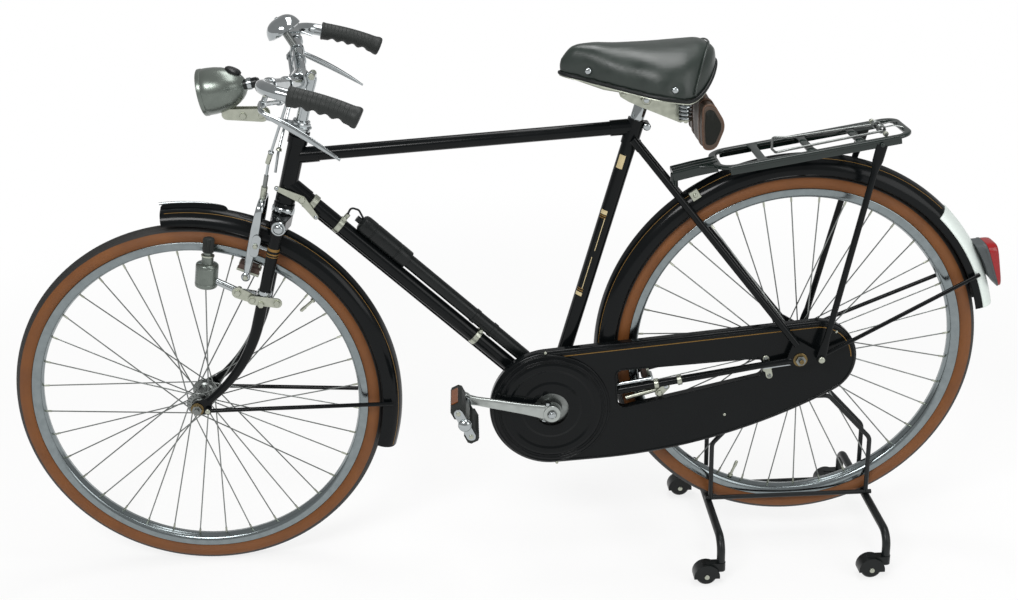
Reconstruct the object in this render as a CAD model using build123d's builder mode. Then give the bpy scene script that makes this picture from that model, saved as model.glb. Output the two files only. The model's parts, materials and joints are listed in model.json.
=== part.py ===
from build123d import *
from math import acos, asin, atan2, cos, degrees, radians, sin, sqrt, tan
import os

# A roadster bicycle with its rear wheel in a castor parking stand, in millimetres.
# The bicycle is drawn level in the side view from its left: u runs to the rear from the front axle, z runs up
# from the floor, y runs to the left. The finished pieces are then tipped about the front axle, because the stand
# lifts the rear wheel, and shifted so that the middle of the whole is at the origin.

# Fits
FIT = 0.3  # gap where curved faces meet, and round every shaft that turns

# Wheels
RIM_RADIUS = 323.0
TYRE_HEIGHT = 32.5  # outside the rim
TYRE_WIDTH = 38.0
TYRE_BASE_WIDTH = 26.0
TYRE_SHOULDER = 8.0  # below the crown
RIM_DEPTH = 19.0
RIM_WIDTH = 30.0
RIM_SIDE = 9.0  # height of the flat side
RIM_BED = 8.0  # depth of the well under the tyre
RIM_LIP = 4.0
SPOKES = 36
SPOKE_RADIUS = 1.0
SPOKE_LEAD = 60.0  # degrees that a spoke runs ahead of its own rim hole at the hub
SPOKE_CIRCLE = 20.0
FLANGE_RADIUS = 24.0
FLANGE_WALL = 3.0
BARREL_RADIUS = 13.0
FRONT_FLANGE = 33.0  # from the middle plane
REAR_FLANGE = 24.0
HUB_END = 6.0  # hub shell beyond its flange
AXLE_RADIUS = 4.75
NUT_RADIUS = 10.0
NUT_HEIGHT = 8.0
AXLE_STUB = 5.0  # axle beyond its nut

# Frame
BB_BACK = 675.0
BB_DROP = 64.5  # below the axles
BB_RADIUS = 21.0
SHELL_GAP = 75.3  # from the bottom bracket shell to the rear mudguard
SEAT_ANGLE = 70.0
HEAD_ANGLE = 71.0
FORK_RAKE = 79.0
TOP_TUBE_BELOW = 38.8  # below the head tube's top, on the steering axis
DOWN_TUBE_ABOVE = 35.3  # above the head tube's foot
TOP_TUBE_RADIUS = 12.7
MAIN_TUBE_RADIUS = 14.3
LUG_WALL = 2.0
LUG_REACH = 45.0
LUG_RING = 14.0
HEAD_RADIUS = 16.5
HEAD_LENGTH = 128.0
STEERER_RADIUS = 12.7
CUP_HEIGHT = 9.5
CUP_RADIUS = 19.5
SEAT_LUG_ABOVE = 14.0  # seat tube beyond the top tube's axis
SEAT_LUG_BELOW = 34.0
EAR_RADIUS = 7.0
EAR_WIDTH = 22.0
EAR_BACK = 4.0
STAY_CAP = 24.0
SEAT_STAY_RADIUS = 7.0
SEAT_STAY_TOP = 21.5  # from the middle plane
SEAT_STAY_BELOW = 20.0  # top end below the top tube's axis
SEAT_STAY_AHEAD = 5.0  # foot ahead of the axle
SEAT_STAY_UP = 30.0
BRIDGE_RADIUS = 5.0
BRIDGE_CLEAR = 18.0  # bridge outside the mudguard
GUARD_PEG = 5.0
CHAIN_STAY_FRONT = 26.7
CHAIN_STAY_RADIUS = 9.0
CHAIN_STAY_TIP = 6.0
CHAIN_STAY_LIFT = 3.0
DROPOUT_INSIDE = 63.5
DROPOUT_WALL = 5.0
DROPOUT_RADIUS = 17.0
DROPOUT_LOBE = 9.0
EYELET_BACK = 37.0
EYELET_UP = 3.0
EYELET_RADIUS = 7.5
STAY_ROD_RADIUS = 2.5
EYE_WALL = 6.0  # thickness of the eye at a stay's end
EYE_RADIUS = 6.0

# Fork
BLADE_RADIUS = 11.0
BLADE_TIP_RADIUS = 7.0
BLADE_SPREAD = 52.0
BLADE_BEND = 300.0
CROWN_GAP = 3.0
CROWN_HEIGHT = 22.0
CROWN_DEPTH = 40.0
RACE_HEIGHT = 12.0
TIP_WALL = 5.0
TIP_LENGTH = 28.0
TIP_RADIUS = 13.0
TIP_EYE_BACK = 20.0
TIP_EYE_DROP = 4.0
LOCK_NUT_HEIGHT = 20.0
LOCK_NUT_RADIUS = 18.0

# Handlebar
QUILL_RADIUS = 11.0
QUILL_HEIGHT = 82.0
BAR_RADIUS = 11.1
BAR_AHEAD = 19.0  # bar centre ahead of the steering axis
CLAMP_RADIUS = 17.0
CLAMP_WIDTH = 44.0
BAR_FOREARM = 56.0  # straight from the grip to the corner of the outer bend
BAR_BEND = 46.0
BAR_DIP_BEND = 60.0
GRIP_START = 288.0
GRIP_START_BACK = 17.0
GRIP_START_RISE = 34.0
GRIP_END = 300.0
GRIP_END_BACK = 127.0
GRIP_END_RISE = -4.0
GRIP_RADIUS = 15.0
LEVER_RADIUS = 4.5
BAND_WALL = 2.5
ROD_RADIUS = 3.0
BELL_OFFSET = 150.0
BELL_RADIUS = 32.0
LAMP_RADIUS = 42.0
LAMP_LENGTH = 86.0
LAMP_AHEAD = 178.0  # glass ahead of the bar centre
LAMP_DROP = 10.0

# Mudguards
GUARD_GAP = 32.5  # crown outside the tyre
GUARD_EDGE_GAP = 10.5
GUARD_HALF_WIDTH = 28.0
GUARD_WALL = 1.2
FRONT_GUARD_TIP = -2.2  # degrees from straight up, to the rear
FRONT_GUARD_TAIL = 110.6
REAR_GUARD_FRONT = -86.0
REAR_GUARD_TAIL = 81.0
PALE_TAIL_START = 48.0
PALE_TAIL_WALL = 1.5
GUARD_STAY_GAP = 18.5  # where a stay meets the guard, outside the tyre
FRONT_STAY_AT = 95.2
REAR_STAY_AT = 69.9

# Chain case, cranks and pedals
CASE_INSIDE = 36.0
CASE_OUTSIDE = 54.0
CASE_WALL = 1.2
CASE_FRONT_RADIUS = 119.0
CASE_REAR_RADIUS = 78.0
CASE_REAR_BACK = 35.0
CASE_REAR_DROP = 8.5
CASE_FLAT = 83.0
CASE_ROUND = 6.5  # round along the case's outer edge
SLOT_FRONT = 128.0  # behind the bottom bracket
SLOT_REAR = 68.0  # ahead of the axle
SLOT_TOP = 5.0
SLOT_REAR_DROP = 33.0
SLOT_FRONT_DROP = 14.0
SLOT_ROUND = 14.0
DISC_RADIUS = 113.0
DISC_OUTSIDE = 60.0
DISC_HOLE = 34.0
CHAINWHEEL_TEETH = 48
SPROCKET_TEETH = 20
CHAIN_PITCH = 12.7
CHAIN_LINE = 48.0
COG_WALL = 3.0
BB_AXLE_RADIUS = 8.5
CRANK_LENGTH = 170.0
CRANK_ANGLE = 15.5  # left crank above level, pointing ahead
CRANK_INSIDE = 66.0
CRANK_WALL = 14.0
CRANK_BOSS = 17.0
CRANK_EYE = 12.5
SPINDLE_RADIUS = 5.0
PEDAL_INSIDE = 88.0
PEDAL_WIDTH = 98.0
PEDAL_SPREAD = 28.0  # block centre from the spindle
PEDAL_TILT = 68.0
BLOCK_WIDTH = 24.0
BLOCK_HEIGHT = 24.0

# Saddle, bag, rack, rear lamp and pump
POST_RADIUS = 12.7
POST_HEIGHT = 40.0
SADDLE_SLOPE = 13.35  # degrees that its underside falls to the rear
BAG_WIDTH = 165.0
BAG_FRONT = 92.0  # behind the post
BAG_BACK = 145.0
BAG_TOP_DEPTH = 28.0
BAG_FOOT_DEPTH = 22.0
BAG_LOW = 86.0  # below the post's top
BAG_WAIST = 50.0
BAG_LOOP = 40.0
BAG_LOOP_RADIUS = 6.0
RACK_BEHIND = 70.0  # deck behind the bridge of the stays
RACK_CLEAR = 29.8  # above the mudguard
RACK_LENGTH = 360.0
RACK_CORNER = 28.0
RACK_TONGUE_WIDTH = 28.0
RACK_TONGUE_WALL = 4.0
RACK_SLOPE = 5.74
RACK_HALF_WIDTH = 64.0
RACK_BAR = 12.0
RACK_WALL = 6.0
RAIL_DEPTH = 16.0
RAIL_WALL = 8.0
RACK_LEG_RADIUS = 5.0
PUMP_OFFSET = 33.0
PUMP_START = 120.0
PUMP_BELOW = 126.4  # top end below the steering axis
PUMP_HANDLE = 113.0
PUMP_RADIUS = 12.0
PUMP_HANDLE_RADIUS = 15.0

# Stand
STAND_LIFT = 62.0
LEG_RADIUS = 8.0
LEG_REACH = 160.0
LEG_SPREAD = 175.0
LEG_BEND = 28.0
HOOP_RADIUS = 4.5
HOOP_SPREAD = 29.0
HOOP_REACH = 157.0
HOOP_SHOULDER = 192.5  # below the wheel's axle
HOOP_TOP = 96.5
HOOP_BEND = 20.0
HOOP_TOP_REACH = 70.0
CASTOR_RADIUS = 20.0
CASTOR_WIDTH = 18.0
CASTOR_TRAIL = 28.0
CASTOR_HOOD_WALL = 2.5
CASTOR_HOOD_GAP = 2.5
CASTOR_STEM_RADIUS = 4.0
CASTOR_STEM = 24.0
CASTOR_PIN_RADIUS = 3.0

LEFT = Vector(0, 1, 0)
UP = Vector(0, 0, 1)


def at(u, z, y=0.0):
    """A point u behind the front axle, z above the level floor and y to the left."""
    return Vector(-u, y, z)


def side(y=0.0):
    """The drawing plane seen from the left, at y: u to the right and z up."""
    return Plane(origin=(0, y, 0), x_dir=(-1, 0, 0), z_dir=(0, 1, 0))


def across(point, along):
    """The plane through a point and square to a direction."""
    return Plane(origin=point, z_dir=along)


def bar(start, end, radius, mode=Mode.ADD):
    """Adds a straight round bar."""
    with BuildSketch(across(start, end - start)) as section:
        Circle(radius)
    return extrude(section.sketch, amount=(end - start).length, mode=mode)


def cone(start, end, radius, end_radius):
    """Adds a straight tapered bar."""
    with BuildSketch(across(start, end - start)) as first:
        Circle(radius)
    with BuildSketch(across(end, end - start)) as last:
        Circle(end_radius)
    loft([first.sketch, last.sketch])


def bent_bar(points, bends, radius):
    """Adds a round bar that follows straight runs joined by arcs."""
    with BuildLine() as path:
        FilletPolyline(*points, radius=bends)
    with BuildSketch(across(path.line @ 0, path.line % 0)) as section:
        Circle(radius)
    sweep(section.sketch, path=path.line)


def turned(base, along, profile, mode=Mode.ADD):
    """Adds a turned form from corners of (distance along the axis, radius)."""
    level = Vector(1, 0, 0) if abs(along.Y) > 0.5 else along.cross(LEFT)
    with BuildSketch(Plane(origin=base, x_dir=along, z_dir=level)) as section:
        with BuildLine():
            Polyline(*profile, close=True)
        make_face()
    revolve(section.sketch, axis=Axis(base, along), mode=mode)


def plate(outline, y, wall, mode=Mode.ADD):
    """Adds a plate with the hull of circles (u, z, radius), from y to y + wall."""
    with BuildSketch(side(y)) as section:
        for u, z, radius in outline:
            with Locations((u, z)):
                Circle(radius)
        make_hull()
    extrude(section.sketch, amount=wall, mode=mode)


def panel(corners, y, wall, mode=Mode.ADD):
    """Adds a plate with straight edges through corners (u, z), from y to y + wall."""
    with BuildSketch(side(y)) as section:
        with BuildLine():
            Polyline(*corners, close=True)
        make_face()
    extrude(section.sketch, amount=wall, mode=mode)


def nut(u, z, y, height, radius):
    """Adds a six-sided nut whose flat sides run along y."""
    with BuildSketch(side(y)) as section:
        with Locations((u, z)):
            RegularPolygon(radius, 6)
    extrude(section.sketch, amount=height)


# Reference points of the frame
TYRE_RADIUS = RIM_RADIUS + TYRE_HEIGHT
GUARD_RADIUS = TYRE_RADIUS + GUARD_GAP
GUARD_EDGE = TYRE_RADIUS + GUARD_EDGE_GAP
BB_HEIGHT = TYRE_RADIUS - BB_DROP
CHAIN_STAY_LENGTH = GUARD_RADIUS + SHELL_GAP + BB_RADIUS
WHEEL_BASE = BB_BACK + sqrt(CHAIN_STAY_LENGTH**2 - BB_DROP**2)
STEER = Vector(-cos(radians(HEAD_ANGLE)), 0, sin(radians(HEAD_ANGLE)))
AHEAD = Vector(sin(radians(HEAD_ANGLE)), 0, cos(radians(HEAD_ANGLE)))
SEAT = Vector(-cos(radians(SEAT_ANGLE)), 0, sin(radians(SEAT_ANGLE)))
FRONT_AXLE = at(0, TYRE_RADIUS)
REAR_AXLE = at(WHEEL_BASE, TYRE_RADIUS)
BB = at(BB_BACK, BB_HEIGHT)
STEER_FOOT = FRONT_AXLE - AHEAD * FORK_RAKE


def steer(along, ahead=0.0, y=0.0):
    """A point by its distance up the steering axis from the foot beside the front axle."""
    return STEER_FOOT + STEER * along + AHEAD * ahead + LEFT * y


def seat(along, y=0.0):
    """A point up the seat tube's axis from the bottom bracket."""
    return BB + SEAT * along + LEFT * y


def round_wheel(axle, radius, angle, y=0.0):
    """A point round an axle, by radius and degrees from straight up to the rear."""
    return axle + Vector(-sin(radians(angle)), 0, cos(radians(angle))) * radius + LEFT * y


def flat(point):
    """A point's place in the side view."""
    return (-point.X, point.Z)


CROWN_LOW = sqrt(GUARD_RADIUS**2 - (FORK_RAKE - CROWN_DEPTH / 2) ** 2) + CROWN_GAP
CROWN_TOP = CROWN_LOW + CROWN_HEIGHT
CUP_LOW = CROWN_TOP + RACE_HEIGHT + FIT
HEAD_LOW = CUP_LOW + CUP_HEIGHT
HEAD_TOP = HEAD_LOW + HEAD_LENGTH
CUP_TOP = HEAD_TOP + CUP_HEIGHT
NUT_LOW = CUP_TOP + FIT
NUT_TOP = NUT_LOW + LOCK_NUT_HEIGHT
STEM_TOP = NUT_TOP + QUILL_HEIGHT

TOP_TUBE_FRONT = steer(HEAD_TOP - TOP_TUBE_BELOW)
DOWN_TUBE_TOP = steer(HEAD_LOW + DOWN_TUBE_ABOVE)
SEAT_TOP_TUBE = (TOP_TUBE_FRONT.Z - BB_HEIGHT) / SEAT.Z
SEAT_LUG_TOP = SEAT_TOP_TUBE + SEAT_LUG_ABOVE
SEAT_LUG_LOW = SEAT_TOP_TUBE - SEAT_LUG_BELOW
TOP_TUBE_REAR = seat(SEAT_TOP_TUBE)
TOP_TUBE = (TOP_TUBE_REAR - TOP_TUBE_FRONT).normalized()
DOWN_TUBE = (DOWN_TUBE_TOP - BB).normalized()
DOWN_TUBE_LENGTH = (DOWN_TUBE_TOP - BB).length
DOWN_TUBE_OVER = LEFT.cross(DOWN_TUBE) * -1
LUG_TUBE = MAIN_TUBE_RADIUS + LUG_WALL
DROPOUT_MIDDLE = DROPOUT_INSIDE + DROPOUT_WALL / 2
DROPOUT_OUTSIDE = DROPOUT_INSIDE + DROPOUT_WALL
SIDES = (1, -1)


def along_down_tube(along, over=0.0, y=0.0):
    """A point up the down tube from the bottom bracket, and over it."""
    return BB + DOWN_TUBE * along + DOWN_TUBE_OVER * over + LEFT * y


def chain_stay(share, y_side):
    """A point on a chain stay's axis, by its share of the way to the dropout."""
    front = at(BB_BACK + BB_RADIUS, BB_HEIGHT + CHAIN_STAY_LIFT, CHAIN_STAY_FRONT * y_side)
    rear = REAR_AXLE + Vector(DROPOUT_RADIUS, DROPOUT_MIDDLE * y_side, 0)
    return front + (rear - front) * share


SEAT_STAY_HIGH = seat(SEAT_TOP_TUBE - SEAT_STAY_BELOW)
SEAT_STAY_LOW = REAR_AXLE + Vector(SEAT_STAY_AHEAD, 0, SEAT_STAY_UP)


def seat_stay(share, y_side):
    """A point on a seat stay's axis, by its share of the way from the seat lug to the dropout."""
    top = SEAT_STAY_HIGH + LEFT * (SEAT_STAY_TOP * y_side)
    low = SEAT_STAY_LOW + LEFT * (DROPOUT_MIDDLE * y_side)
    return top + (low - top) * share



def share_at(stay, radius):
    """The share along a stay at which it is so far from the rear axle, in the side view."""
    foot = Vector(stay(1, 1).X, 0, stay(1, 1).Z)
    run = Vector(stay(0, 1).X, 0, stay(0, 1).Z) - foot
    start = (foot - REAR_AXLE).dot(run.normalized())
    beside = (foot - REAR_AXLE).length ** 2 - start**2
    return 1 - (sqrt(radius**2 - beside) - start) / run.length


SEAT_STAY_LENGTH = (seat_stay(1, 1) - seat_stay(0, 1)).length
STAY_CAP_SHARE = STAY_CAP / SEAT_STAY_LENGTH

# Head tube with lugs for the two front tubes, and the headset cups on its ends
with BuildPart() as head_tube:
    bar(steer(HEAD_LOW), steer(HEAD_TOP), HEAD_RADIUS)
    bar(steer(HEAD_LOW), steer(HEAD_LOW + LUG_RING), HEAD_RADIUS + LUG_WALL)
    bar(steer(HEAD_TOP - LUG_RING), steer(HEAD_TOP), HEAD_RADIUS + LUG_WALL)
    bar(TOP_TUBE_FRONT, TOP_TUBE_FRONT + TOP_TUBE * LUG_REACH, TOP_TUBE_RADIUS + LUG_WALL)
    bar(DOWN_TUBE_TOP, DOWN_TUBE_TOP - DOWN_TUBE * LUG_REACH, LUG_TUBE)
    turned(steer(CUP_LOW), STEER, [(0, 0), (0, CUP_RADIUS), (CUP_HEIGHT * 2 / 3, CUP_RADIUS),
                                   (CUP_HEIGHT, HEAD_RADIUS), (CUP_HEIGHT, 0)])
    turned(steer(HEAD_TOP), STEER, [(0, 0), (0, HEAD_RADIUS), (CUP_HEIGHT / 3, CUP_RADIUS),
                                    (CUP_HEIGHT, CUP_RADIUS), (CUP_HEIGHT, 0)])
    bar(steer(CUP_LOW), steer(CUP_TOP), STEERER_RADIUS + FIT, mode=Mode.SUBTRACT)

with BuildPart() as top_tube:
    bar(TOP_TUBE_FRONT + TOP_TUBE * LUG_REACH, TOP_TUBE_REAR - TOP_TUBE * LUG_REACH, TOP_TUBE_RADIUS)

with BuildPart() as down_tube:
    bar(BB + DOWN_TUBE * LUG_REACH, DOWN_TUBE_TOP - DOWN_TUBE * LUG_REACH, MAIN_TUBE_RADIUS)

# Seat tube with the seat lug, its clamp ears and the caps of the seat stays
with BuildPart() as seat_tube:
    bar(seat(LUG_REACH), seat(SEAT_LUG_LOW), MAIN_TUBE_RADIUS)
    bar(seat(SEAT_LUG_LOW), seat(SEAT_LUG_TOP), LUG_TUBE)
    bar(TOP_TUBE_REAR, TOP_TUBE_REAR - TOP_TUBE * LUG_REACH, TOP_TUBE_RADIUS + LUG_WALL)
    ear = seat(SEAT_LUG_TOP - EAR_RADIUS) - AHEAD * (LUG_TUBE + EAR_BACK)
    bar(ear - LEFT * (EAR_WIDTH / 2), ear + LEFT * (EAR_WIDTH / 2), EAR_RADIUS)
    for y_side in SIDES:
        bar(seat_stay(0, y_side), seat_stay(STAY_CAP_SHARE, y_side), SEAT_STAY_RADIUS + LUG_WALL / 2)

with BuildPart() as bottom_bracket:
    bar(BB - LEFT * (CASE_INSIDE - FIT), BB + LEFT * (CASE_INSIDE - FIT), BB_RADIUS)
    bar(BB, BB + DOWN_TUBE * LUG_REACH, LUG_TUBE)
    bar(BB, seat(LUG_REACH), LUG_TUBE)
    bar(BB - LEFT * CASE_INSIDE, BB + LEFT * CASE_INSIDE, BB_AXLE_RADIUS + FIT, mode=Mode.SUBTRACT)

# Chain stays with their dropouts, which also hold the foot of each seat stay
with BuildPart() as chain_stays:
    for y_side in SIDES:
        cone(chain_stay(0.02, y_side), chain_stay(1, y_side), CHAIN_STAY_RADIUS, CHAIN_STAY_TIP)
        inner = DROPOUT_INSIDE if y_side > 0 else -DROPOUT_OUTSIDE
        u, z = flat(REAR_AXLE)
        plate([(u, z, DROPOUT_RADIUS), (*flat(chain_stay(1, 1)), DROPOUT_LOBE), (*flat(SEAT_STAY_LOW), DROPOUT_LOBE),
               (u + EYELET_BACK, z + EYELET_UP, EYELET_RADIUS)], inner, DROPOUT_WALL)
        bar(seat_stay(1, y_side), seat_stay(1 - STAY_CAP_SHARE, y_side), SEAT_STAY_RADIUS)
    bar(REAR_AXLE - LEFT * DROPOUT_OUTSIDE, REAR_AXLE + LEFT * DROPOUT_OUTSIDE, AXLE_RADIUS + FIT,
        mode=Mode.SUBTRACT)

# Seat stays with the bridge above the mudguard
BRIDGE_SHARE = share_at(seat_stay, GUARD_RADIUS + BRIDGE_CLEAR)
with BuildPart() as seat_stays:
    for y_side in SIDES:
        bar(seat_stay(STAY_CAP_SHARE, y_side), seat_stay(1 - STAY_CAP_SHARE, y_side), SEAT_STAY_RADIUS)
    bar(seat_stay(BRIDGE_SHARE, -1), seat_stay(BRIDGE_SHARE, 1), BRIDGE_RADIUS)
BRIDGE = (seat_stay(BRIDGE_SHARE, -1) + seat_stay(BRIDGE_SHARE, 1)) * 0.5

# Rear axle with its spacers and nuts
REAR_HUB_LEFT = CHAIN_LINE - COG_WALL / 2 + COG_WALL + 1
REAR_HUB_RIGHT = REAR_FLANGE + HUB_END
AXLE_GAP = 2.0
SPACER_RADIUS = 8.0
with BuildPart() as rear_axle:
    reach = DROPOUT_OUTSIDE + NUT_HEIGHT + AXLE_STUB
    bar(REAR_AXLE - LEFT * reach, REAR_AXLE + LEFT * reach, AXLE_RADIUS)
    bar(REAR_AXLE + LEFT * (REAR_HUB_LEFT + AXLE_GAP), REAR_AXLE + LEFT * DROPOUT_INSIDE, SPACER_RADIUS)
    bar(REAR_AXLE - LEFT * DROPOUT_INSIDE, REAR_AXLE - LEFT * (REAR_HUB_RIGHT + AXLE_GAP), SPACER_RADIUS)
    for y in (DROPOUT_OUTSIDE, -DROPOUT_OUTSIDE - NUT_HEIGHT):
        nut(*flat(REAR_AXLE), y, NUT_HEIGHT, NUT_RADIUS)


# Wheels
def tyre(axle):
    """Adds a tyre: straight sidewalls to the shoulders, and a round crown."""
    with BuildSketch(Plane(origin=axle, x_dir=LEFT, z_dir=(1, 0, 0))) as section:
        with BuildLine():
            half = TYRE_WIDTH / 2
            left = [(TYRE_BASE_WIDTH / 2, RIM_RADIUS + FIT), (half * 0.95, RIM_RADIUS + TYRE_HEIGHT / 5),
                    (half, TYRE_RADIUS - half), (half * 0.82, TYRE_RADIUS - TYRE_SHOULDER)]
            right = [(-y, r) for y, r in reversed(left)]
            Polyline(*left)
            ThreePointArc(left[-1], (0, TYRE_RADIUS), right[0])
            Polyline(*right, left[0])
        make_face()
    revolve(section.sketch, axis=Axis(axle, LEFT))


def rim(axle):
    """Adds a rim: two flat sides, two hollows for the brake pads beside a raised bed, and a well under the tyre."""
    half = RIM_WIDTH / 2
    inner = RIM_RADIUS - RIM_DEPTH
    bed = RIM_RADIUS - RIM_BED
    right = [(-half + 2 * RIM_LIP, bed), (-half + RIM_LIP, RIM_RADIUS), (-half, RIM_RADIUS),
             (-half, RIM_RADIUS - RIM_SIDE), (-half * 0.6, inner + 3), (-half * 0.2, inner)]
    turned(axle, LEFT, [*right, *[(-y, radius) for y, radius in reversed(right)]])


def hub(axle, flange, left_end, right_end):
    """Adds a hub shell with two flanges and its spokes, laced three across."""
    near = flange - FLANGE_WALL / 2
    far = flange + FLANGE_WALL / 2
    cup = BARREL_RADIUS * 1.15
    turned(axle, LEFT, [(-right_end, AXLE_RADIUS + FIT), (-right_end, BARREL_RADIUS), (-far, cup),
                        (-far, FLANGE_RADIUS), (-near, FLANGE_RADIUS), (-near, BARREL_RADIUS),
                        (near, BARREL_RADIUS), (near, FLANGE_RADIUS), (far, FLANGE_RADIUS), (far, cup),
                        (left_end, BARREL_RADIUS), (left_end, AXLE_RADIUS + FIT)])
    spokes = []
    for number in range(SPOKES):
        angle = 360 / SPOKES * number
        y_side = 1 if number % 2 else -1
        lead = SPOKE_LEAD if number % 4 < 2 else -SPOKE_LEAD
        at_hub = round_wheel(axle, SPOKE_CIRCLE, angle + lead, flange * y_side)
        at_rim = round_wheel(axle, RIM_RADIUS - RIM_DEPTH - FIT, angle, y_side)
        spokes.append(bar(at_hub, at_rim, SPOKE_RADIUS, mode=Mode.PRIVATE))
    add(spokes)


def cog(axle, y, teeth, hole):
    """Adds a toothed wheel for the chain, between y and y + COG_WALL."""
    pitch_radius = CHAIN_PITCH / (2 * sin(radians(180 / teeth)))
    with BuildSketch(side(y)) as section:
        with Locations(flat(axle)):
            Polygon(*[((pitch_radius + 3.5 * (-1) ** step) * cos(radians(180 / teeth * step)),
                       (pitch_radius + 3.5 * (-1) ** step) * sin(radians(180 / teeth * step)))
                      for step in range(2 * teeth)], align=None)
            Circle(hole, mode=Mode.SUBTRACT)
    extrude(section.sketch, amount=COG_WALL)
    return pitch_radius


with BuildPart() as front_tyre:
    tyre(FRONT_AXLE)
with BuildPart() as front_rim:
    rim(FRONT_AXLE)
with BuildPart() as front_hub:
    hub(FRONT_AXLE, FRONT_FLANGE, FRONT_FLANGE + HUB_END, FRONT_FLANGE + HUB_END)
with BuildPart() as rear_tyre:
    tyre(REAR_AXLE)
with BuildPart() as rear_rim:
    rim(REAR_AXLE)
with BuildPart() as rear_hub:
    hub(REAR_AXLE, REAR_FLANGE, REAR_HUB_LEFT, REAR_HUB_RIGHT)
    cog(REAR_AXLE, CHAIN_LINE - COG_WALL / 2, SPROCKET_TEETH, BARREL_RADIUS - 2)

# Fork: crown with steerer, blades with tips, axle
with BuildPart() as fork_crown:
    with BuildSketch(Plane(origin=steer(CROWN_LOW), x_dir=LEFT, z_dir=STEER)) as crown_plan:
        Circle(CROWN_DEPTH / 2)
        with Locations((BLADE_SPREAD, 0), (-BLADE_SPREAD, 0)):
            Circle(BLADE_RADIUS + LUG_WALL)
        make_hull()
    extrude(crown_plan.sketch, amount=CROWN_HEIGHT)
    turned(steer(CROWN_TOP), STEER, [(0, 0), (0, CUP_RADIUS + 1), (RACE_HEIGHT, CUP_RADIUS), (RACE_HEIGHT, 0)])
    bar(steer(CROWN_TOP), steer(NUT_TOP), STEERER_RADIUS)

BLADE_TURN = degrees(acos(1 - FORK_RAKE / BLADE_BEND))
BEND_START = BLADE_BEND * sin(radians(BLADE_TURN))
TIP_TURN = degrees(TIP_LENGTH / BLADE_BEND)


def blade(turn, y=0.0):
    """A point on a fork blade's bend, by the degrees that it has turned."""
    return steer(BEND_START - BLADE_BEND * sin(radians(turn)), BLADE_BEND * (1 - cos(radians(turn))), y)


def blade_direction(turn):
    """The direction down a fork blade where it has turned by so many degrees."""
    return STEER * -cos(radians(turn)) + AHEAD * sin(radians(turn))


EYE_PLACE = (TIP_EYE_BACK, TYRE_RADIUS - TIP_EYE_DROP)  # eyelet of the mudguard stay on the fork tip
TIP_OUTSIDE = BLADE_SPREAD + TIP_WALL / 2
with BuildPart() as fork_blades:
    for y_side in SIDES:
        y = BLADE_SPREAD * y_side
        bar(steer(CROWN_LOW, 0, y), steer(BEND_START, 0, y), BLADE_RADIUS)
        end_turn = BLADE_TURN - TIP_TURN
        with BuildLine() as bend:
            ThreePointArc(blade(0, y), blade(end_turn / 2, y), blade(end_turn, y))
        with BuildSketch(across(blade(0, y), blade_direction(0))) as upper:
            Circle(BLADE_RADIUS)
        with BuildSketch(across(blade(end_turn, y), blade_direction(end_turn))) as lower:
            Circle(BLADE_TIP_RADIUS)
        sweep([upper.sketch, lower.sketch], path=bend.line, multisection=True)
        plate([(0, TYRE_RADIUS, TIP_RADIUS), (*flat(blade(end_turn)), BLADE_TIP_RADIUS), (*EYE_PLACE, EYE_RADIUS)],
              y - TIP_WALL / 2, TIP_WALL)
    bar(FRONT_AXLE - LEFT * TIP_OUTSIDE, FRONT_AXLE + LEFT * TIP_OUTSIDE, AXLE_RADIUS + FIT, mode=Mode.SUBTRACT)

with BuildPart() as front_axle:
    reach = TIP_OUTSIDE + NUT_HEIGHT + AXLE_STUB
    bar(FRONT_AXLE - LEFT * reach, FRONT_AXLE + LEFT * reach, AXLE_RADIUS)
    for y_side in SIDES:
        bar(FRONT_AXLE + LEFT * (y_side * (FRONT_FLANGE + HUB_END + AXLE_GAP)),
            FRONT_AXLE + LEFT * (y_side * (BLADE_SPREAD - TIP_WALL / 2)), SPACER_RADIUS)
    for y in (TIP_OUTSIDE, -TIP_OUTSIDE - NUT_HEIGHT):
        nut(*flat(FRONT_AXLE), y, NUT_HEIGHT, NUT_RADIUS)

# Stem with its lock nut, clamp and expander bolt
BAR_CENTRE = steer(STEM_TOP - CLAMP_RADIUS + 7, BAR_AHEAD)
with BuildPart() as stem:
    with BuildSketch(across(steer(NUT_LOW), STEER)) as lock_nut:
        RegularPolygon(LOCK_NUT_RADIUS, 8)
        Circle(STEERER_RADIUS + FIT, mode=Mode.SUBTRACT)
    extrude(lock_nut.sketch, amount=LOCK_NUT_HEIGHT)
    bar(steer(NUT_TOP), steer(STEM_TOP), QUILL_RADIUS)
    bar(steer(STEM_TOP), steer(STEM_TOP + 5), 6)
    bar(BAR_CENTRE - LEFT * (CLAMP_WIDTH / 2), BAR_CENTRE + LEFT * (CLAMP_WIDTH / 2), CLAMP_RADIUS)
    bar(BAR_CENTRE - LEFT * CLAMP_WIDTH, BAR_CENTRE + LEFT * CLAMP_WIDTH, BAR_RADIUS + FIT, mode=Mode.SUBTRACT)


def from_bar(back, rise, y=0.0):
    """A point behind and above the middle of the handlebar."""
    return BAR_CENTRE + Vector(-back, y, rise)


def grip_point(along, y_side):
    """A point along a grip's axis from its inner end."""
    start = from_bar(GRIP_START_BACK, GRIP_START_RISE, GRIP_START * y_side)
    end = from_bar(GRIP_END_BACK, GRIP_END_RISE, GRIP_END * y_side)
    return start + (end - start).normalized() * along


def shoulder(share, y_side):
    """A point on the handlebar's run from the clamp out to its shoulder."""
    inner = from_bar(0, 0, CLAMP_WIDTH * 0.7 * y_side)
    outer = grip_point(-BAR_FOREARM, y_side)
    return inner + (outer - inner) * share


with BuildPart() as handlebar:
    bent_bar([grip_point(0, 1), shoulder(1, 1), shoulder(0, 1), shoulder(0, -1), shoulder(1, -1), grip_point(0, -1)],
             [BAR_BEND, BAR_DIP_BEND, BAR_DIP_BEND, BAR_BEND], BAR_RADIUS)

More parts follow.
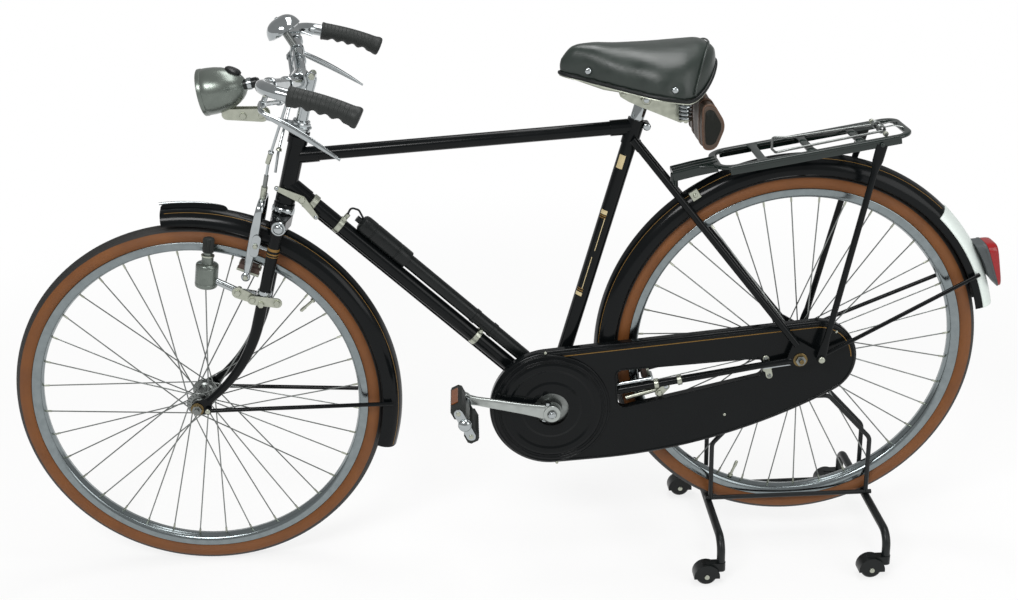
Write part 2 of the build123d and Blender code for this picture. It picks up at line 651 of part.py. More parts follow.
with BuildPart() as grips:
    for y_side in SIDES:
        grip_start = grip_point(0, y_side)
        grip_end = from_bar(GRIP_END_BACK, GRIP_END_RISE, GRIP_END * y_side)
        grip_length = (grip_end - grip_start).length
        ridge = grip_length / 10
        swell = [(ridge * step, GRIP_RADIUS + (1.5 if step % 2 else 0)) for step in range(1, 10)]
        turned(grip_start, (grip_end - grip_start).normalized(),
               [(0, 0), (0, GRIP_RADIUS - 1), *swell, (grip_length - 5, GRIP_RADIUS + 3),
                (grip_length, GRIP_RADIUS - 2), (grip_length, 0)])

# Brake levers: bent bars hung from the handlebar by two clips each
LEVER_CLIPS = (0.28, 0.66)  # shares of the run from clamp to shoulder
LEVER_DROP = 30.0
LEVER_AHEAD = 16.0
LEVER_KNEE_BACK = 20.0  # from the bar's centre
LEVER_KNEE_DROP = 42.0
LEVER_KNEE_IN = 36.0  # inside the grip
LEVER_TIP_BACK = 83.0
LEVER_TIP_DROP = 82.0
LEVER_TIP_IN = 6.0
with BuildPart() as brake_levers:
    for y_side in SIDES:
        hang = Vector(LEVER_AHEAD, 0, -LEVER_DROP)
        inner = shoulder(0.12, y_side) + hang
        outer = shoulder(0.74, y_side) + hang
        knee = from_bar(LEVER_KNEE_BACK, -LEVER_KNEE_DROP, (GRIP_START - LEVER_KNEE_IN) * y_side)
        tip = from_bar(LEVER_TIP_BACK, -LEVER_TIP_DROP, (GRIP_START - LEVER_TIP_IN) * y_side)
        bent_bar([inner, outer, knee, tip], [40, 60], LEVER_RADIUS)
        for share in LEVER_CLIPS:
            run = (shoulder(1, y_side) - shoulder(0, y_side)).normalized()
            middle = shoulder(share, y_side)
            bar(middle - run * 6, middle + run * 6, BAR_RADIUS + BAND_WALL)
            bar(middle + hang * 0.3, middle + hang, LEVER_RADIUS)
            bar(middle - run * 8, middle + run * 8, BAR_RADIUS + FIT, mode=Mode.SUBTRACT)

# Bell on the right of the handlebar
with BuildPart() as bell:
    share = (BELL_OFFSET - shoulder(0, 1).Y) / (shoulder(1, 1).Y - shoulder(0, 1).Y)
    run = (shoulder(1, -1) - shoulder(0, -1)).normalized()
    middle = shoulder(share, -1)
    post = Vector(0.2, 0, 1).normalized()
    bar(middle - run * 7, middle + run * 7, BAR_RADIUS + BAND_WALL)
    bar(middle, middle + post * 36, 5)
    turned(middle + post * 30, post, [(0, 0), (0, BELL_RADIUS), (5, BELL_RADIUS), (14, BELL_RADIUS * 0.88),
                                      (21, BELL_RADIUS * 0.6), (24, BELL_RADIUS * 0.25), (24, 0)])
    bar(middle - run * 9, middle + run * 9, BAR_RADIUS + FIT, mode=Mode.SUBTRACT)

# Headlamp on a bracket under the lock nut
LAMP_FACE = from_bar(-LAMP_AHEAD, -LAMP_DROP)
BACK = Vector(-1, 0, 0)
BRACKET_WIDTH = 22.0
BRACKET_WALL = 3.0
with BuildPart() as headlamp:
    turned(LAMP_FACE, BACK, [(0, LAMP_RADIUS - 4), (0, LAMP_RADIUS), (9, LAMP_RADIUS), (11, LAMP_RADIUS - 2),
                             (36, LAMP_RADIUS - 4), (60, LAMP_RADIUS - 12), (78, LAMP_RADIUS - 24),
                             (LAMP_LENGTH, 6), (LAMP_LENGTH, 0), (12, 0), (12, LAMP_RADIUS - 4)])
    seat_on_nut = steer(NUT_TOP + 2 + FIT, LOCK_NUT_RADIUS)
    with BuildSketch(side(-BRACKET_WIDTH / 2)) as bracket:
        with BuildLine() as bracket_line:
            Polyline(flat(steer(NUT_TOP + 2 + FIT, QUILL_RADIUS + FIT)), flat(seat_on_nut + AHEAD * 12),
                     flat(LAMP_FACE + Vector(-50, 0, -LAMP_RADIUS + 11)))
        trace(bracket_line.line, line_width=BRACKET_WALL)
    extrude(bracket.sketch, amount=BRACKET_WIDTH)

with BuildPart() as headlamp_glass:
    turned(LAMP_FACE, BACK, [(11.7, 0), (11.7, LAMP_RADIUS - 4 - FIT), (0, LAMP_RADIUS - 4 - FIT),
                             (-4, LAMP_RADIUS * 0.6), (-6, 0)])


# Mudguards
GUARD_ROUND = (GUARD_HALF_WIDTH**2 + (GUARD_RADIUS - GUARD_EDGE) ** 2) / (2 * (GUARD_RADIUS - GUARD_EDGE))
GUARD_TURN = asin(GUARD_HALF_WIDTH / GUARD_ROUND)


def guard_shell(axle, start, end, inside, outside):
    """Adds a mudguard between two angles, its round section between two offsets from the guard's outer face."""
    radial = Vector(-sin(radians(end)), 0, cos(radians(end)))

    def on_section(offset, turn):
        round_radius = GUARD_ROUND + offset
        return (round_radius * sin(turn), GUARD_RADIUS - GUARD_ROUND + round_radius * cos(turn))

    with BuildSketch(Plane(origin=axle, x_dir=LEFT, z_dir=LEFT.cross(radial))) as section:
        with BuildLine():
            for offset in (outside, inside):
                ThreePointArc(*[on_section(offset, GUARD_TURN * step) for step in (-1, 0, 1)])
            for step in (-1, 1):
                Line(on_section(outside, GUARD_TURN * step), on_section(inside, GUARD_TURN * step))
        make_face()
    revolve(section.sketch, axis=Axis(axle, LEFT), revolution_arc=end - start)


with BuildPart() as front_mudguard:
    guard_shell(FRONT_AXLE, FRONT_GUARD_TIP, FRONT_GUARD_TAIL, -GUARD_WALL, 0)
    under_crown = steer(CROWN_LOW)
    bar(under_crown, under_crown - STEER * (CROWN_GAP + GUARD_PEG), GUARD_PEG)

with BuildPart() as rear_mudguard:
    guard_shell(REAR_AXLE, REAR_GUARD_FRONT, REAR_GUARD_TAIL, -GUARD_WALL, 0)
    to_axle = (REAR_AXLE - BRIDGE).normalized()
    bar(BRIDGE + to_axle * (BRIDGE_RADIUS + FIT), REAR_AXLE - to_axle * (GUARD_RADIUS - GUARD_WALL / 2),
        GUARD_PEG)

with BuildPart() as mudguard_tail:
    guard_shell(REAR_AXLE, PALE_TAIL_START, REAR_GUARD_TAIL, FIT, FIT + PALE_TAIL_WALL)

# Crest along the crown of the front mudguard
CREST_END = 16.0
CREST_HEIGHT = 11.0
with BuildPart() as mudguard_crest:
    base = GUARD_RADIUS + FIT
    tip = flat(round_wheel(FRONT_AXLE, base, FRONT_GUARD_TIP))
    heel = flat(round_wheel(FRONT_AXLE, base, CREST_END))
    middle = (FRONT_GUARD_TIP + CREST_END) / 2
    with BuildSketch(side(-3)) as crest_side:
        with BuildLine():
            ThreePointArc(tip, flat(round_wheel(FRONT_AXLE, base, middle)), heel)
            ThreePointArc(heel, flat(round_wheel(FRONT_AXLE, base + CREST_HEIGHT, middle - 3)), tip)
        make_face()
    extrude(crest_side.sketch, amount=6)

with BuildPart() as front_mudguard_stays:
    for y_side in SIDES:
        eye = at(*EYE_PLACE, TIP_OUTSIDE * y_side)
        foot = round_wheel(FRONT_AXLE, TYRE_RADIUS + GUARD_STAY_GAP, FRONT_STAY_AT,
                           (GUARD_HALF_WIDTH + FIT + STAY_ROD_RADIUS) * y_side)
        outer = eye + LEFT * (EYE_WALL * y_side)
        bar(eye, outer, EYE_RADIUS)
        bar(outer - LEFT * (STAY_ROD_RADIUS * y_side), foot, STAY_ROD_RADIUS)

EYELET = REAR_AXLE + Vector(-EYELET_BACK, 0, EYELET_UP)
with BuildPart() as rear_mudguard_stays:
    for y_side in SIDES:
        eye = EYELET + LEFT * (DROPOUT_OUTSIDE * y_side)
        foot = round_wheel(REAR_AXLE, TYRE_RADIUS + GUARD_STAY_GAP, REAR_STAY_AT,
                           (GUARD_HALF_WIDTH + 2 * FIT + PALE_TAIL_WALL + STAY_ROD_RADIUS) * y_side)
        outer = eye + LEFT * (EYE_WALL * y_side)
        bar(eye, outer, EYELET_RADIUS)
        bar(outer - LEFT * (STAY_ROD_RADIUS * y_side), foot, STAY_ROD_RADIUS)

# Rack: a flat frame with cross bars, a tongue to the bridge of the seat stays, and two legs
deck_ahead = BRIDGE.X - REAR_AXLE.X - RACK_BEHIND
deck_up = sqrt(GUARD_RADIUS**2 - deck_ahead**2) + RACK_CLEAR
DECK_FRONT = REAR_AXLE + Vector(deck_ahead, 0, deck_up)
DECK_BACK = Vector(-cos(radians(RACK_SLOPE)), 0, sin(radians(RACK_SLOPE)))
DECK = Plane(origin=DECK_FRONT, x_dir=DECK_BACK, z_dir=DECK_BACK.cross(LEFT) * -1)
CROSS_BARS = [RACK_LENGTH * share for share in (0.24, 0.49, 0.74)]  # from the front of the deck
LEG_AT = RACK_LENGTH * 0.833
LEG_EYE = DROPOUT_OUTSIDE + EYE_WALL
LEG_EYE_WALL = 2 * RACK_LEG_RADIUS + 1
LEG_EYE_RADIUS = 8.0
LEG_NUT_HEIGHT = 4.0
TONGUE_AHEAD = 46.0
TONGUE_BEND = 22.0
with BuildPart() as rack:
    with BuildSketch(DECK) as deck_plan:
        with Locations((RACK_LENGTH / 2, 0)):
            RectangleRounded(RACK_LENGTH, 2 * RACK_HALF_WIDTH, RACK_CORNER)
        edges = [0, *CROSS_BARS, RACK_LENGTH]
        for near, far in zip(edges[:-1], edges[1:]):
            start = near + (RACK_BAR if near == 0 else RACK_BAR / 2)
            end = far - (RACK_BAR if far == RACK_LENGTH else RACK_BAR / 2)
            with Locations(((start + end) / 2, 0)):
                RectangleRounded(end - start, 2 * (RACK_HALF_WIDTH - RACK_BAR), RACK_CORNER / 3,
                                 mode=Mode.SUBTRACT)
    extrude(deck_plan.sketch, amount=-RACK_WALL)
    with BuildSketch(DECK) as rails_plan:
        with Locations((RACK_LENGTH / 2, RACK_HALF_WIDTH - RAIL_WALL / 2),
                       (RACK_LENGTH / 2, -RACK_HALF_WIDTH + RAIL_WALL / 2)):
            Rectangle(RACK_LENGTH - 2 * RACK_CORNER, RAIL_WALL)
    extrude(rails_plan.sketch, amount=-RAIL_DEPTH)
    tongue_top = DECK_FRONT + DECK_BACK * 4 - DECK.z_dir * (RACK_WALL / 2)
    tongue_foot = BRIDGE + UP * (BRIDGE_RADIUS + FIT)
    with BuildSketch(side(-RACK_TONGUE_WIDTH / 2)) as tongue_side:
        with BuildLine() as tongue_line:
            tongue_bend = DECK_FRONT - DECK_BACK * TONGUE_AHEAD - DECK.z_dir * (RACK_WALL / 2)
            FilletPolyline(flat(tongue_top), flat(tongue_bend), flat(tongue_foot + UP * 1.5), radius=TONGUE_BEND)
        trace(tongue_line.line, line_width=RACK_TONGUE_WALL)
    extrude(tongue_side.sketch, amount=RACK_TONGUE_WIDTH)
    for y_side in SIDES:
        eye = EYELET + LEFT * (LEG_EYE * y_side)
        outer_eye = eye + LEFT * (LEG_EYE_WALL * y_side)
        top = DECK_FRONT + DECK_BACK * LEG_AT - DECK.z_dir * (RAIL_DEPTH - RAIL_WALL / 2)
        top += LEFT * ((RACK_HALF_WIDTH - RAIL_WALL / 2) * y_side)
        bar(eye, outer_eye, LEG_EYE_RADIUS)
        bar(outer_eye, outer_eye + LEFT * (LEG_NUT_HEIGHT * y_side), RACK_LEG_RADIUS)
        bar(outer_eye - LEFT * (RACK_LEG_RADIUS * y_side), top, RACK_LEG_RADIUS)

# Spring clip of bent wire, lying on the deck
CLIP_WIRE = 2.5
CLIP_REAR = 26.0
CLIP_FRONT = 30.0
CLIP_HALF_WIDTH = 34.0
CLIP_BEND = 24.0
with BuildPart() as rack_clip:
    lift = DECK.z_dir * (CLIP_WIRE + FIT)
    rear_bar = DECK_FRONT + DECK_BACK * (RACK_LENGTH - CLIP_REAR) + lift
    front_loop = DECK_FRONT + DECK_BACK * (CROSS_BARS[0] + CLIP_FRONT) + lift
    half = LEFT * CLIP_HALF_WIDTH
    bent_bar([rear_bar + half, front_loop + half, front_loop - half, rear_bar - half], [CLIP_BEND] * 2, CLIP_WIRE)
    bar(rear_bar - half, rear_bar + half, CLIP_WIRE)

# Rear lamp on the pale tail: housing against the guard, and a lens behind it
LAMP_LOW = 96.0  # above the axle
LAMP_HIGH = 184.0
LAMP_REACH = 8.0  # lens face outside the mudguard's radius, at the foot of the lamp
HOUSING_LIFT = 20.0
LENS_ROUND = 5.0
LAMP_LEAN = 10.0
LENS_DEPTH = 13.0
LAMP_HALF_WIDTH = 30.0
tail_radius = GUARD_RADIUS + FIT + PALE_TAIL_WALL + FIT


def lamp_corner(depth, height):
    """A corner of the rear lamp, by its depth ahead of the lens face and its height above the axle."""
    lean = LAMP_LEAN * (height - LAMP_LOW) / (LAMP_HIGH - LAMP_LOW)
    return (WHEEL_BASE + GUARD_RADIUS + LAMP_REACH - depth - lean, TYRE_RADIUS + height)


def on_tail(height):
    """A point just off the tail's crown at a height above the axle."""
    return (WHEEL_BASE + sqrt(tail_radius**2 - height**2), TYRE_RADIUS + height)


with BuildPart() as rear_lamp_housing:
    with BuildSketch(side(-LAMP_HALF_WIDTH)) as housing_side:
        with BuildLine():
            Line(lamp_corner(LENS_DEPTH, LAMP_LOW), lamp_corner(LENS_DEPTH, LAMP_HIGH))
            Line(lamp_corner(LENS_DEPTH, LAMP_HIGH), on_tail(LAMP_HIGH))
            ThreePointArc(on_tail(LAMP_HIGH), on_tail((LAMP_HIGH + LAMP_LOW) / 2), on_tail(LAMP_LOW + HOUSING_LIFT))
            Line(on_tail(LAMP_LOW + HOUSING_LIFT), lamp_corner(LENS_DEPTH, LAMP_LOW))
        make_face()
    extrude(housing_side.sketch, amount=2 * LAMP_HALF_WIDTH)

with BuildPart() as rear_lamp_lens:
    panel([lamp_corner(0, LAMP_LOW + LENS_ROUND), lamp_corner(0, LAMP_HIGH - LENS_ROUND),
           lamp_corner(LENS_ROUND, LAMP_HIGH), lamp_corner(LENS_DEPTH, LAMP_HIGH),
           lamp_corner(LENS_DEPTH, LAMP_LOW), lamp_corner(LENS_ROUND, LAMP_LOW)],
          -LAMP_HALF_WIDTH, 2 * LAMP_HALF_WIDTH)

# Seat post with the saddle's clip, side plates and springs
POST_TOP = seat(SEAT_LUG_TOP + POST_HEIGHT)


def from_post(back, rise, y=0.0):
    """A point behind and above the top of the seat post."""
    return POST_TOP + Vector(-back, y, rise)


def saddle_base(back):
    """Height of the saddle's underside above the top of the post."""
    return 25 - tan(radians(SADDLE_SLOPE)) * back


SPRING_RADIUS = 13.0
SPRING_TURNS = 5
SPRING_BACK = 69.0
SPRING_SPREAD = 45.0
NOSE_BAR = 116.0  # ahead of the post
NOSE_BAR_RADIUS = 5.0
with BuildPart() as seat_post:
    bar(seat(SEAT_LUG_TOP), POST_TOP, POST_RADIUS)
    bar(from_post(0, 4, -30), from_post(0, 4, 30), 13)
    plate_corners = [(-46, 24), (-10, 18), (66, -16), (76, -36), (62, -44), (-8, -10), (-42, 8)]
    for y in (24, -28):
        panel([flat(from_post(back, rise)) for back, rise in plate_corners], y, 4)
    bar(from_post(SPRING_BACK, -36, -SPRING_SPREAD), from_post(SPRING_BACK, -36, SPRING_SPREAD), 5)
    spring_top = saddle_base(SPRING_BACK + SPRING_RADIUS) - FIT
    for y_side in SIDES:
        foot = from_post(SPRING_BACK, -34, SPRING_SPREAD * y_side)
        turn = (spring_top + 34) / SPRING_TURNS
        coils = []
        for step in range(SPRING_TURNS):
            coils += [(turn * step, SPRING_RADIUS - 2.5), (turn * (step + 0.5), SPRING_RADIUS)]
        turned(foot, UP, [(0, 0), *coils, (turn * SPRING_TURNS, SPRING_RADIUS - 2.5), (turn * SPRING_TURNS, 0)])
    bar(from_post(-8, 10), from_post(-NOSE_BAR, saddle_base(-NOSE_BAR) - NOSE_BAR_RADIUS - FIT), NOSE_BAR_RADIUS)

# Saddle, lofted through sections of (behind the post, half width, side height, top above the post)
SADDLE_SECTIONS = [(-149, 15, 8, 82), (-110, 24, 18, 96), (-40, 40, 40, 103), (45, 84, 60, 105), (100, 102, 62, 103),
                   (131, 90, 50, 92)]
with BuildPart() as saddle:
    saddle_faces = []
    for back, half_width, side_height, top in SADDLE_SECTIONS:
        base = saddle_base(back)
        middle = from_post(back, 0)
        with BuildSketch(Plane(origin=middle, x_dir=LEFT, z_dir=BACK)) as section:
            with BuildLine():
                Polyline((half_width, -base - side_height), (half_width, -base), (-half_width, -base),
                         (-half_width, -base - side_height))
                ThreePointArc((-half_width, -base - side_height), (0, -top), (half_width, -base - side_height))
            make_face()
        saddle_faces.append(section.sketch)
    loft(saddle_faces)

# Tool bag hung under the back of the saddle
with BuildPart() as tool_bag:
    with BuildSketch(side(-BAG_WIDTH / 2)) as bag_side:
        with BuildLine():
            bag_top = saddle_base(BAG_BACK) - BAND_WALL
            top_front = flat(from_post(BAG_FRONT, bag_top))
            top_back = flat(from_post(BAG_FRONT + BAG_TOP_DEPTH, bag_top))
            low_front = flat(from_post(BAG_FRONT, -BAG_LOW))
            low_back = flat(from_post(BAG_FRONT + BAG_FOOT_DEPTH, -BAG_LOW))
            Polyline(low_back, low_front, top_front, top_back)
            ThreePointArc(top_back, flat(from_post(BAG_BACK, -BAG_WAIST)), low_back)
        make_face()
    extrude(bag_side.sketch, amount=BAG_WIDTH)
    loop_back = BAG_FRONT + 2 * BAG_LOOP_RADIUS
    for y in (-BAG_LOOP, BAG_LOOP):
        bar(from_post(loop_back, bag_top - BAND_WALL, y),
            from_post(loop_back, saddle_base(loop_back + BAG_LOOP_RADIUS) - FIT, y), BAG_LOOP_RADIUS)

# Pump on the down tube, with two clips
PUMP_END = DOWN_TUBE_LENGTH - PUMP_BELOW
PUMP_CLIPS = (PUMP_START + 76, PUMP_END + 6)
CLIP_WIDTH = 14.0
with BuildPart() as pump:
    handle_foot = along_down_tube(PUMP_END - PUMP_HANDLE, PUMP_OFFSET)
    bar(along_down_tube(PUMP_START, PUMP_OFFSET), handle_foot, PUMP_RADIUS)
    bar(handle_foot, along_down_tube(PUMP_END, PUMP_OFFSET), PUMP_HANDLE_RADIUS)
    for clip in PUMP_CLIPS:
        low, high = clip - CLIP_WIDTH / 2, clip + CLIP_WIDTH / 2
        bar(along_down_tube(low), along_down_tube(high), MAIN_TUBE_RADIUS + BAND_WALL)
        bar(along_down_tube(clip), along_down_tube(clip, PUMP_OFFSET), CLIP_WIDTH / 3)
        bar(along_down_tube(low - 1), along_down_tube(high + 1), MAIN_TUBE_RADIUS + FIT, mode=Mode.SUBTRACT)
    tip = along_down_tube(PUMP_END + PUMP_RADIUS, PUMP_OFFSET)
    bar(along_down_tube(PUMP_END - 1, PUMP_OFFSET), tip, PUMP_RADIUS / 2)

# Chain case: front and rear rounds joined by a straight top and a bowed bottom, with a slot for the stay
CASE_REAR = (WHEEL_BASE + CASE_REAR_BACK, TYRE_RADIUS - CASE_REAR_DROP)
CASE_LOW = BB_HEIGHT - CASE_FRONT_RADIUS
FLAT_END = BB_BACK + CASE_FLAT
run_back = CASE_REAR[0] - FLAT_END
rise = CASE_REAR[1] - CASE_LOW
BOW = (run_back**2 + rise**2 - CASE_REAR_RADIUS**2) / (2 * (rise - CASE_REAR_RADIUS))
bow_turn = atan2(run_back, CASE_LOW + BOW - CASE_REAR[1])
span = sqrt((CASE_REAR[0] - BB_BACK) ** 2 + (CASE_REAR[1] - BB_HEIGHT) ** 2)
top_turn = atan2(CASE_REAR[1] - BB_HEIGHT, CASE_REAR[0] - BB_BACK)
top_turn += acos((CASE_FRONT_RADIUS - CASE_REAR_RADIUS) / span)
TOP_NORMAL = (cos(top_turn), sin(top_turn))


def case_outline(inset):
    """Draws the case's outline, moved in by the inset."""
    front = CASE_FRONT_RADIUS - inset
    rear = CASE_REAR_RADIUS - inset
    bow = BOW - inset
    top_front = (BB_BACK + front * TOP_NORMAL[0], BB_HEIGHT + front * TOP_NORMAL[1])
    top_rear = (CASE_REAR[0] + rear * TOP_NORMAL[0], CASE_REAR[1] + rear * TOP_NORMAL[1])
    low_front = (BB_BACK, BB_HEIGHT - front)
    low_flat = (FLAT_END, BB_HEIGHT - front)
    bow_middle = (FLAT_END + bow * sin(bow_turn / 2), CASE_LOW + BOW - bow * cos(bow_turn / 2))
    bow_end = (FLAT_END + bow * sin(bow_turn), CASE_LOW + BOW - bow * cos(bow_turn))
    ThreePointArc(top_front, (BB_BACK - front, BB_HEIGHT), low_front)
    Line(low_front, low_flat)
    ThreePointArc(low_flat, bow_middle, bow_end)
    ThreePointArc(bow_end, (CASE_REAR[0] + rear, CASE_REAR[1]), top_rear)
    Line(top_rear, top_front)


SLOT_CORNERS = [(BB_BACK + SLOT_FRONT, TYRE_RADIUS + SLOT_TOP), (WHEEL_BASE - SLOT_REAR, TYRE_RADIUS + SLOT_TOP),
                (WHEEL_BASE - SLOT_REAR, TYRE_RADIUS - SLOT_REAR_DROP),
                (BB_BACK + SLOT_FRONT, BB_HEIGHT - SLOT_FRONT_DROP)]
ROOM_FRONT = 8.0  # room for the stay, behind the bottom bracket
ROOM_BACK = SLOT_FRONT + SLOT_ROUND
stay_rise = chain_stay(ROOM_BACK / (WHEEL_BASE - BB_BACK), 1).Z
STAY_ROOM = [(BB_BACK + ROOM_FRONT, BB_HEIGHT - SLOT_FRONT_DROP), (BB_BACK + ROOM_FRONT, BB_HEIGHT + BB_RADIUS),
             (BB_BACK + ROOM_BACK, stay_rise + BB_RADIUS), (BB_BACK + ROOM_BACK, stay_rise - BB_RADIUS)]


def slot():
    """Draws the slot's outline with rounded corners."""
    with BuildSketch(mode=Mode.PRIVATE) as opening:
        with BuildLine():
            Polyline(*SLOT_CORNERS, close=True)
        make_face()
        fillet(opening.vertices(), SLOT_ROUND)
    return opening.sketch


with BuildPart() as chain_case:
    with BuildSketch(side(CASE_INSIDE)) as case_side:
        with BuildLine():
            case_outline(0)
        make_face()
    extrude(case_side.sketch, amount=CASE_OUTSIDE - CASE_INSIDE)
    fillet(chain_case.faces().sort_by(Axis.Y)[-1].edges(), CASE_ROUND)
    with BuildPart(mode=Mode.PRIVATE) as hollow:
        with BuildSketch(side(CASE_INSIDE + CASE_WALL)) as hollow_side:
            with BuildLine():
                case_outline(CASE_WALL)
            make_face()
        extrude(hollow_side.sketch, amount=CASE_OUTSIDE - CASE_INSIDE - 2 * CASE_WALL)
        fillet(hollow.faces().sort_by(Axis.Y)[-1].edges(), CASE_ROUND - CASE_WALL)
        with BuildSketch(side(CASE_INSIDE)) as slot_rim:
            add(slot())
            offset(amount=CASE_WALL)
        extrude(slot_rim.sketch, amount=CASE_OUTSIDE - CASE_INSIDE, mode=Mode.SUBTRACT)
    add(hollow.part, mode=Mode.SUBTRACT)
    with BuildSketch(side(CASE_INSIDE)) as slot_side:
        add(slot())
    extrude(slot_side.sketch, amount=CASE_OUTSIDE - CASE_INSIDE, mode=Mode.SUBTRACT)
    panel(STAY_ROOM, CASE_INSIDE, CHAIN_LINE - COG_WALL / 2 - CASE_INSIDE, mode=Mode.SUBTRACT)
    bar(BB + LEFT * (CASE_OUTSIDE - CASE_WALL), BB + LEFT * CASE_OUTSIDE, DISC_RADIUS - 13, mode=Mode.SUBTRACT)
    bar(BB + LEFT * CASE_INSIDE, BB + LEFT * (CASE_INSIDE + CASE_WALL), BB_RADIUS, mode=Mode.SUBTRACT)
    bar(REAR_AXLE + LEFT * CASE_INSIDE, REAR_AXLE + LEFT * (CASE_INSIDE + CASE_WALL), 30, mode=Mode.SUBTRACT)
    bar(REAR_AXLE + LEFT * (CASE_OUTSIDE - CASE_WALL), REAR_AXLE + LEFT * CASE_OUTSIDE, SPACER_RADIUS + 3,
        mode=Mode.SUBTRACT)

# Disc over the front of the case, pressed with rings of (share of the radius, height above the case)
DISC_RINGS = [(1.0, 1.5), (0.92, 4.5), (0.86, 4.5), (0.82, 6.0), (0.74, 6.0), (0.70, 4.0), (0.52, 4.0), (0.48, 6.0),
              (0.38, 6.0)]
with BuildPart() as chain_case_disc:
    outer = [(height, DISC_RADIUS * share) for share, height in DISC_RINGS]
    inner = [(height - 1.5, radius) for height, radius in outer]
    turned(BB + LEFT * CASE_OUTSIDE, LEFT, [*outer, (4.5, DISC_HOLE), (3, DISC_HOLE), *reversed(inner)])

with BuildPart() as chainwheel:
    wheel_radius = cog(BB, CHAIN_LINE - COG_WALL / 2, CHAINWHEEL_TEETH, BB_AXLE_RADIUS + FIT)
    with BuildSketch(side(CHAIN_LINE - COG_WALL / 2)) as windows:
        with Locations(flat(BB)):
            with PolarLocations(wheel_radius * 0.62, 5):
                Circle(wheel_radius * 0.22)
    extrude(windows.sketch, amount=COG_WALL, mode=Mode.SUBTRACT)
    turned(BB + LEFT * (CHAIN_LINE - COG_WALL / 2), LEFT,
           [(0, BB_AXLE_RADIUS + FIT), (0, 22), (CRANK_INSIDE - CHAIN_LINE + COG_WALL / 2, 20),
            (CRANK_INSIDE - CHAIN_LINE + COG_WALL / 2, BB_AXLE_RADIUS + FIT)])


# Cranks with their axle and pedal spindles
def pedal_centre(y_side):
    """Where a pedal's spindle is, in the middle plane."""
    turn = radians(CRANK_ANGLE)
    return BB + Vector(cos(turn), 0, sin(turn)) * (CRANK_LENGTH * y_side)


with BuildPart() as crank_arms:
    bar(BB - LEFT * (CRANK_INSIDE + CRANK_WALL), BB + LEFT * (CRANK_INSIDE + CRANK_WALL), BB_AXLE_RADIUS)
    for y_side in SIDES:
        inner = CRANK_INSIDE if y_side > 0 else -CRANK_INSIDE - CRANK_WALL
        eye = pedal_centre(y_side)
        plate([(*flat(BB), CRANK_BOSS * 0.62), (*flat(eye), CRANK_EYE * 0.66)], inner, CRANK_WALL)
        plate([(*flat(BB), CRANK_BOSS)], inner, CRANK_WALL)
        plate([(*flat(eye), CRANK_EYE)], inner, CRANK_WALL)
        bar(eye + LEFT * (CRANK_INSIDE * y_side), eye + LEFT * ((PEDAL_INSIDE + PEDAL_WIDTH - 4) * y_side),
            SPINDLE_RADIUS)


def pedal_corner(eye, tilt, out, over=0.0):
    """A point on a tilted pedal, out along its flat and over it, in the side view."""
    turn = radians(tilt)
    return (-eye.X - out * cos(turn) + over * sin(turn), eye.Z + out * sin(turn) + over * cos(turn))


def pedal_cage(y_side, tilt):
    """Adds a pedal's end plates, its middle tube and the dust cap."""
    eye = pedal_centre(y_side)
    for out in (0, PEDAL_WIDTH - 3):
        y = PEDAL_INSIDE + out if y_side > 0 else -PEDAL_INSIDE - out - 3
        plate([(*pedal_corner(eye, tilt, PEDAL_SPREAD), 11), (*pedal_corner(eye, tilt, -PEDAL_SPREAD), 11)], y, 3)
    inner_end = eye + LEFT * (PEDAL_INSIDE * y_side)
    outer_end = eye + LEFT * ((PEDAL_INSIDE + PEDAL_WIDTH) * y_side)
    bar(inner_end, outer_end, SPINDLE_RADIUS + 4)
    turned(outer_end, LEFT * y_side,
           [(0, 0), (0, SPINDLE_RADIUS + 6), (4, SPINDLE_RADIUS + 5), (7, SPINDLE_RADIUS), (8, 0)])
    bar(inner_end, outer_end - LEFT * (3 * y_side), SPINDLE_RADIUS + FIT, mode=Mode.SUBTRACT)


def pedal_blocks(y_side, tilt):
    """Adds a pedal's two rubber blocks between its end plates."""
    eye = pedal_centre(y_side)
    y = PEDAL_INSIDE + 3 if y_side > 0 else -PEDAL_INSIDE - PEDAL_WIDTH + 3
    for out in (PEDAL_SPREAD, -PEDAL_SPREAD):
        corners = [pedal_corner(eye, tilt, out + a * BLOCK_WIDTH / 2, b * BLOCK_HEIGHT / 2)
                   for a, b in ((1, 1), (-1, 1), (-1, -1), (1, -1))]
        panel(corners, y, PEDAL_WIDTH - 6)


with BuildPart() as pedal_left:
    pedal_cage(1, PEDAL_TILT)
with BuildPart() as pedal_left_rubbers:
    pedal_blocks(1, PEDAL_TILT)
with BuildPart() as pedal_right:
    pedal_cage(-1, PEDAL_TILT)
with BuildPart() as pedal_right_rubbers:
    pedal_blocks(-1, PEDAL_TILT)

# Brakes
PAD_GAP = 5.0
PAD_DEPTH = 14.0
PAD_LENGTH = 40.0
PAD_WIDTH = 14.0
PAD_SPREAD = 16.0
PAD_LOW = RIM_RADIUS - RIM_DEPTH - PAD_GAP - PAD_DEPTH


def brake_pad(axle, angle, y_side):
    """Adds a brake pad inside the rim, at an angle round the axle."""
    outward = round_wheel(axle, 1, angle) - axle
    foot = axle + outward * PAD_LOW + LEFT * (PAD_SPREAD * y_side)
    with BuildSketch(Plane(origin=foot, x_dir=LEFT, z_dir=outward)) as sole:
        Rectangle(PAD_WIDTH, PAD_LENGTH)
    extrude(sole.sketch, amount=PAD_DEPTH)


def angle_round(axle, point):
    """Degrees round an axle from straight up, to the rear, of a point."""
    return degrees(atan2(axle.X - point.X, point.Z - axle.Z))


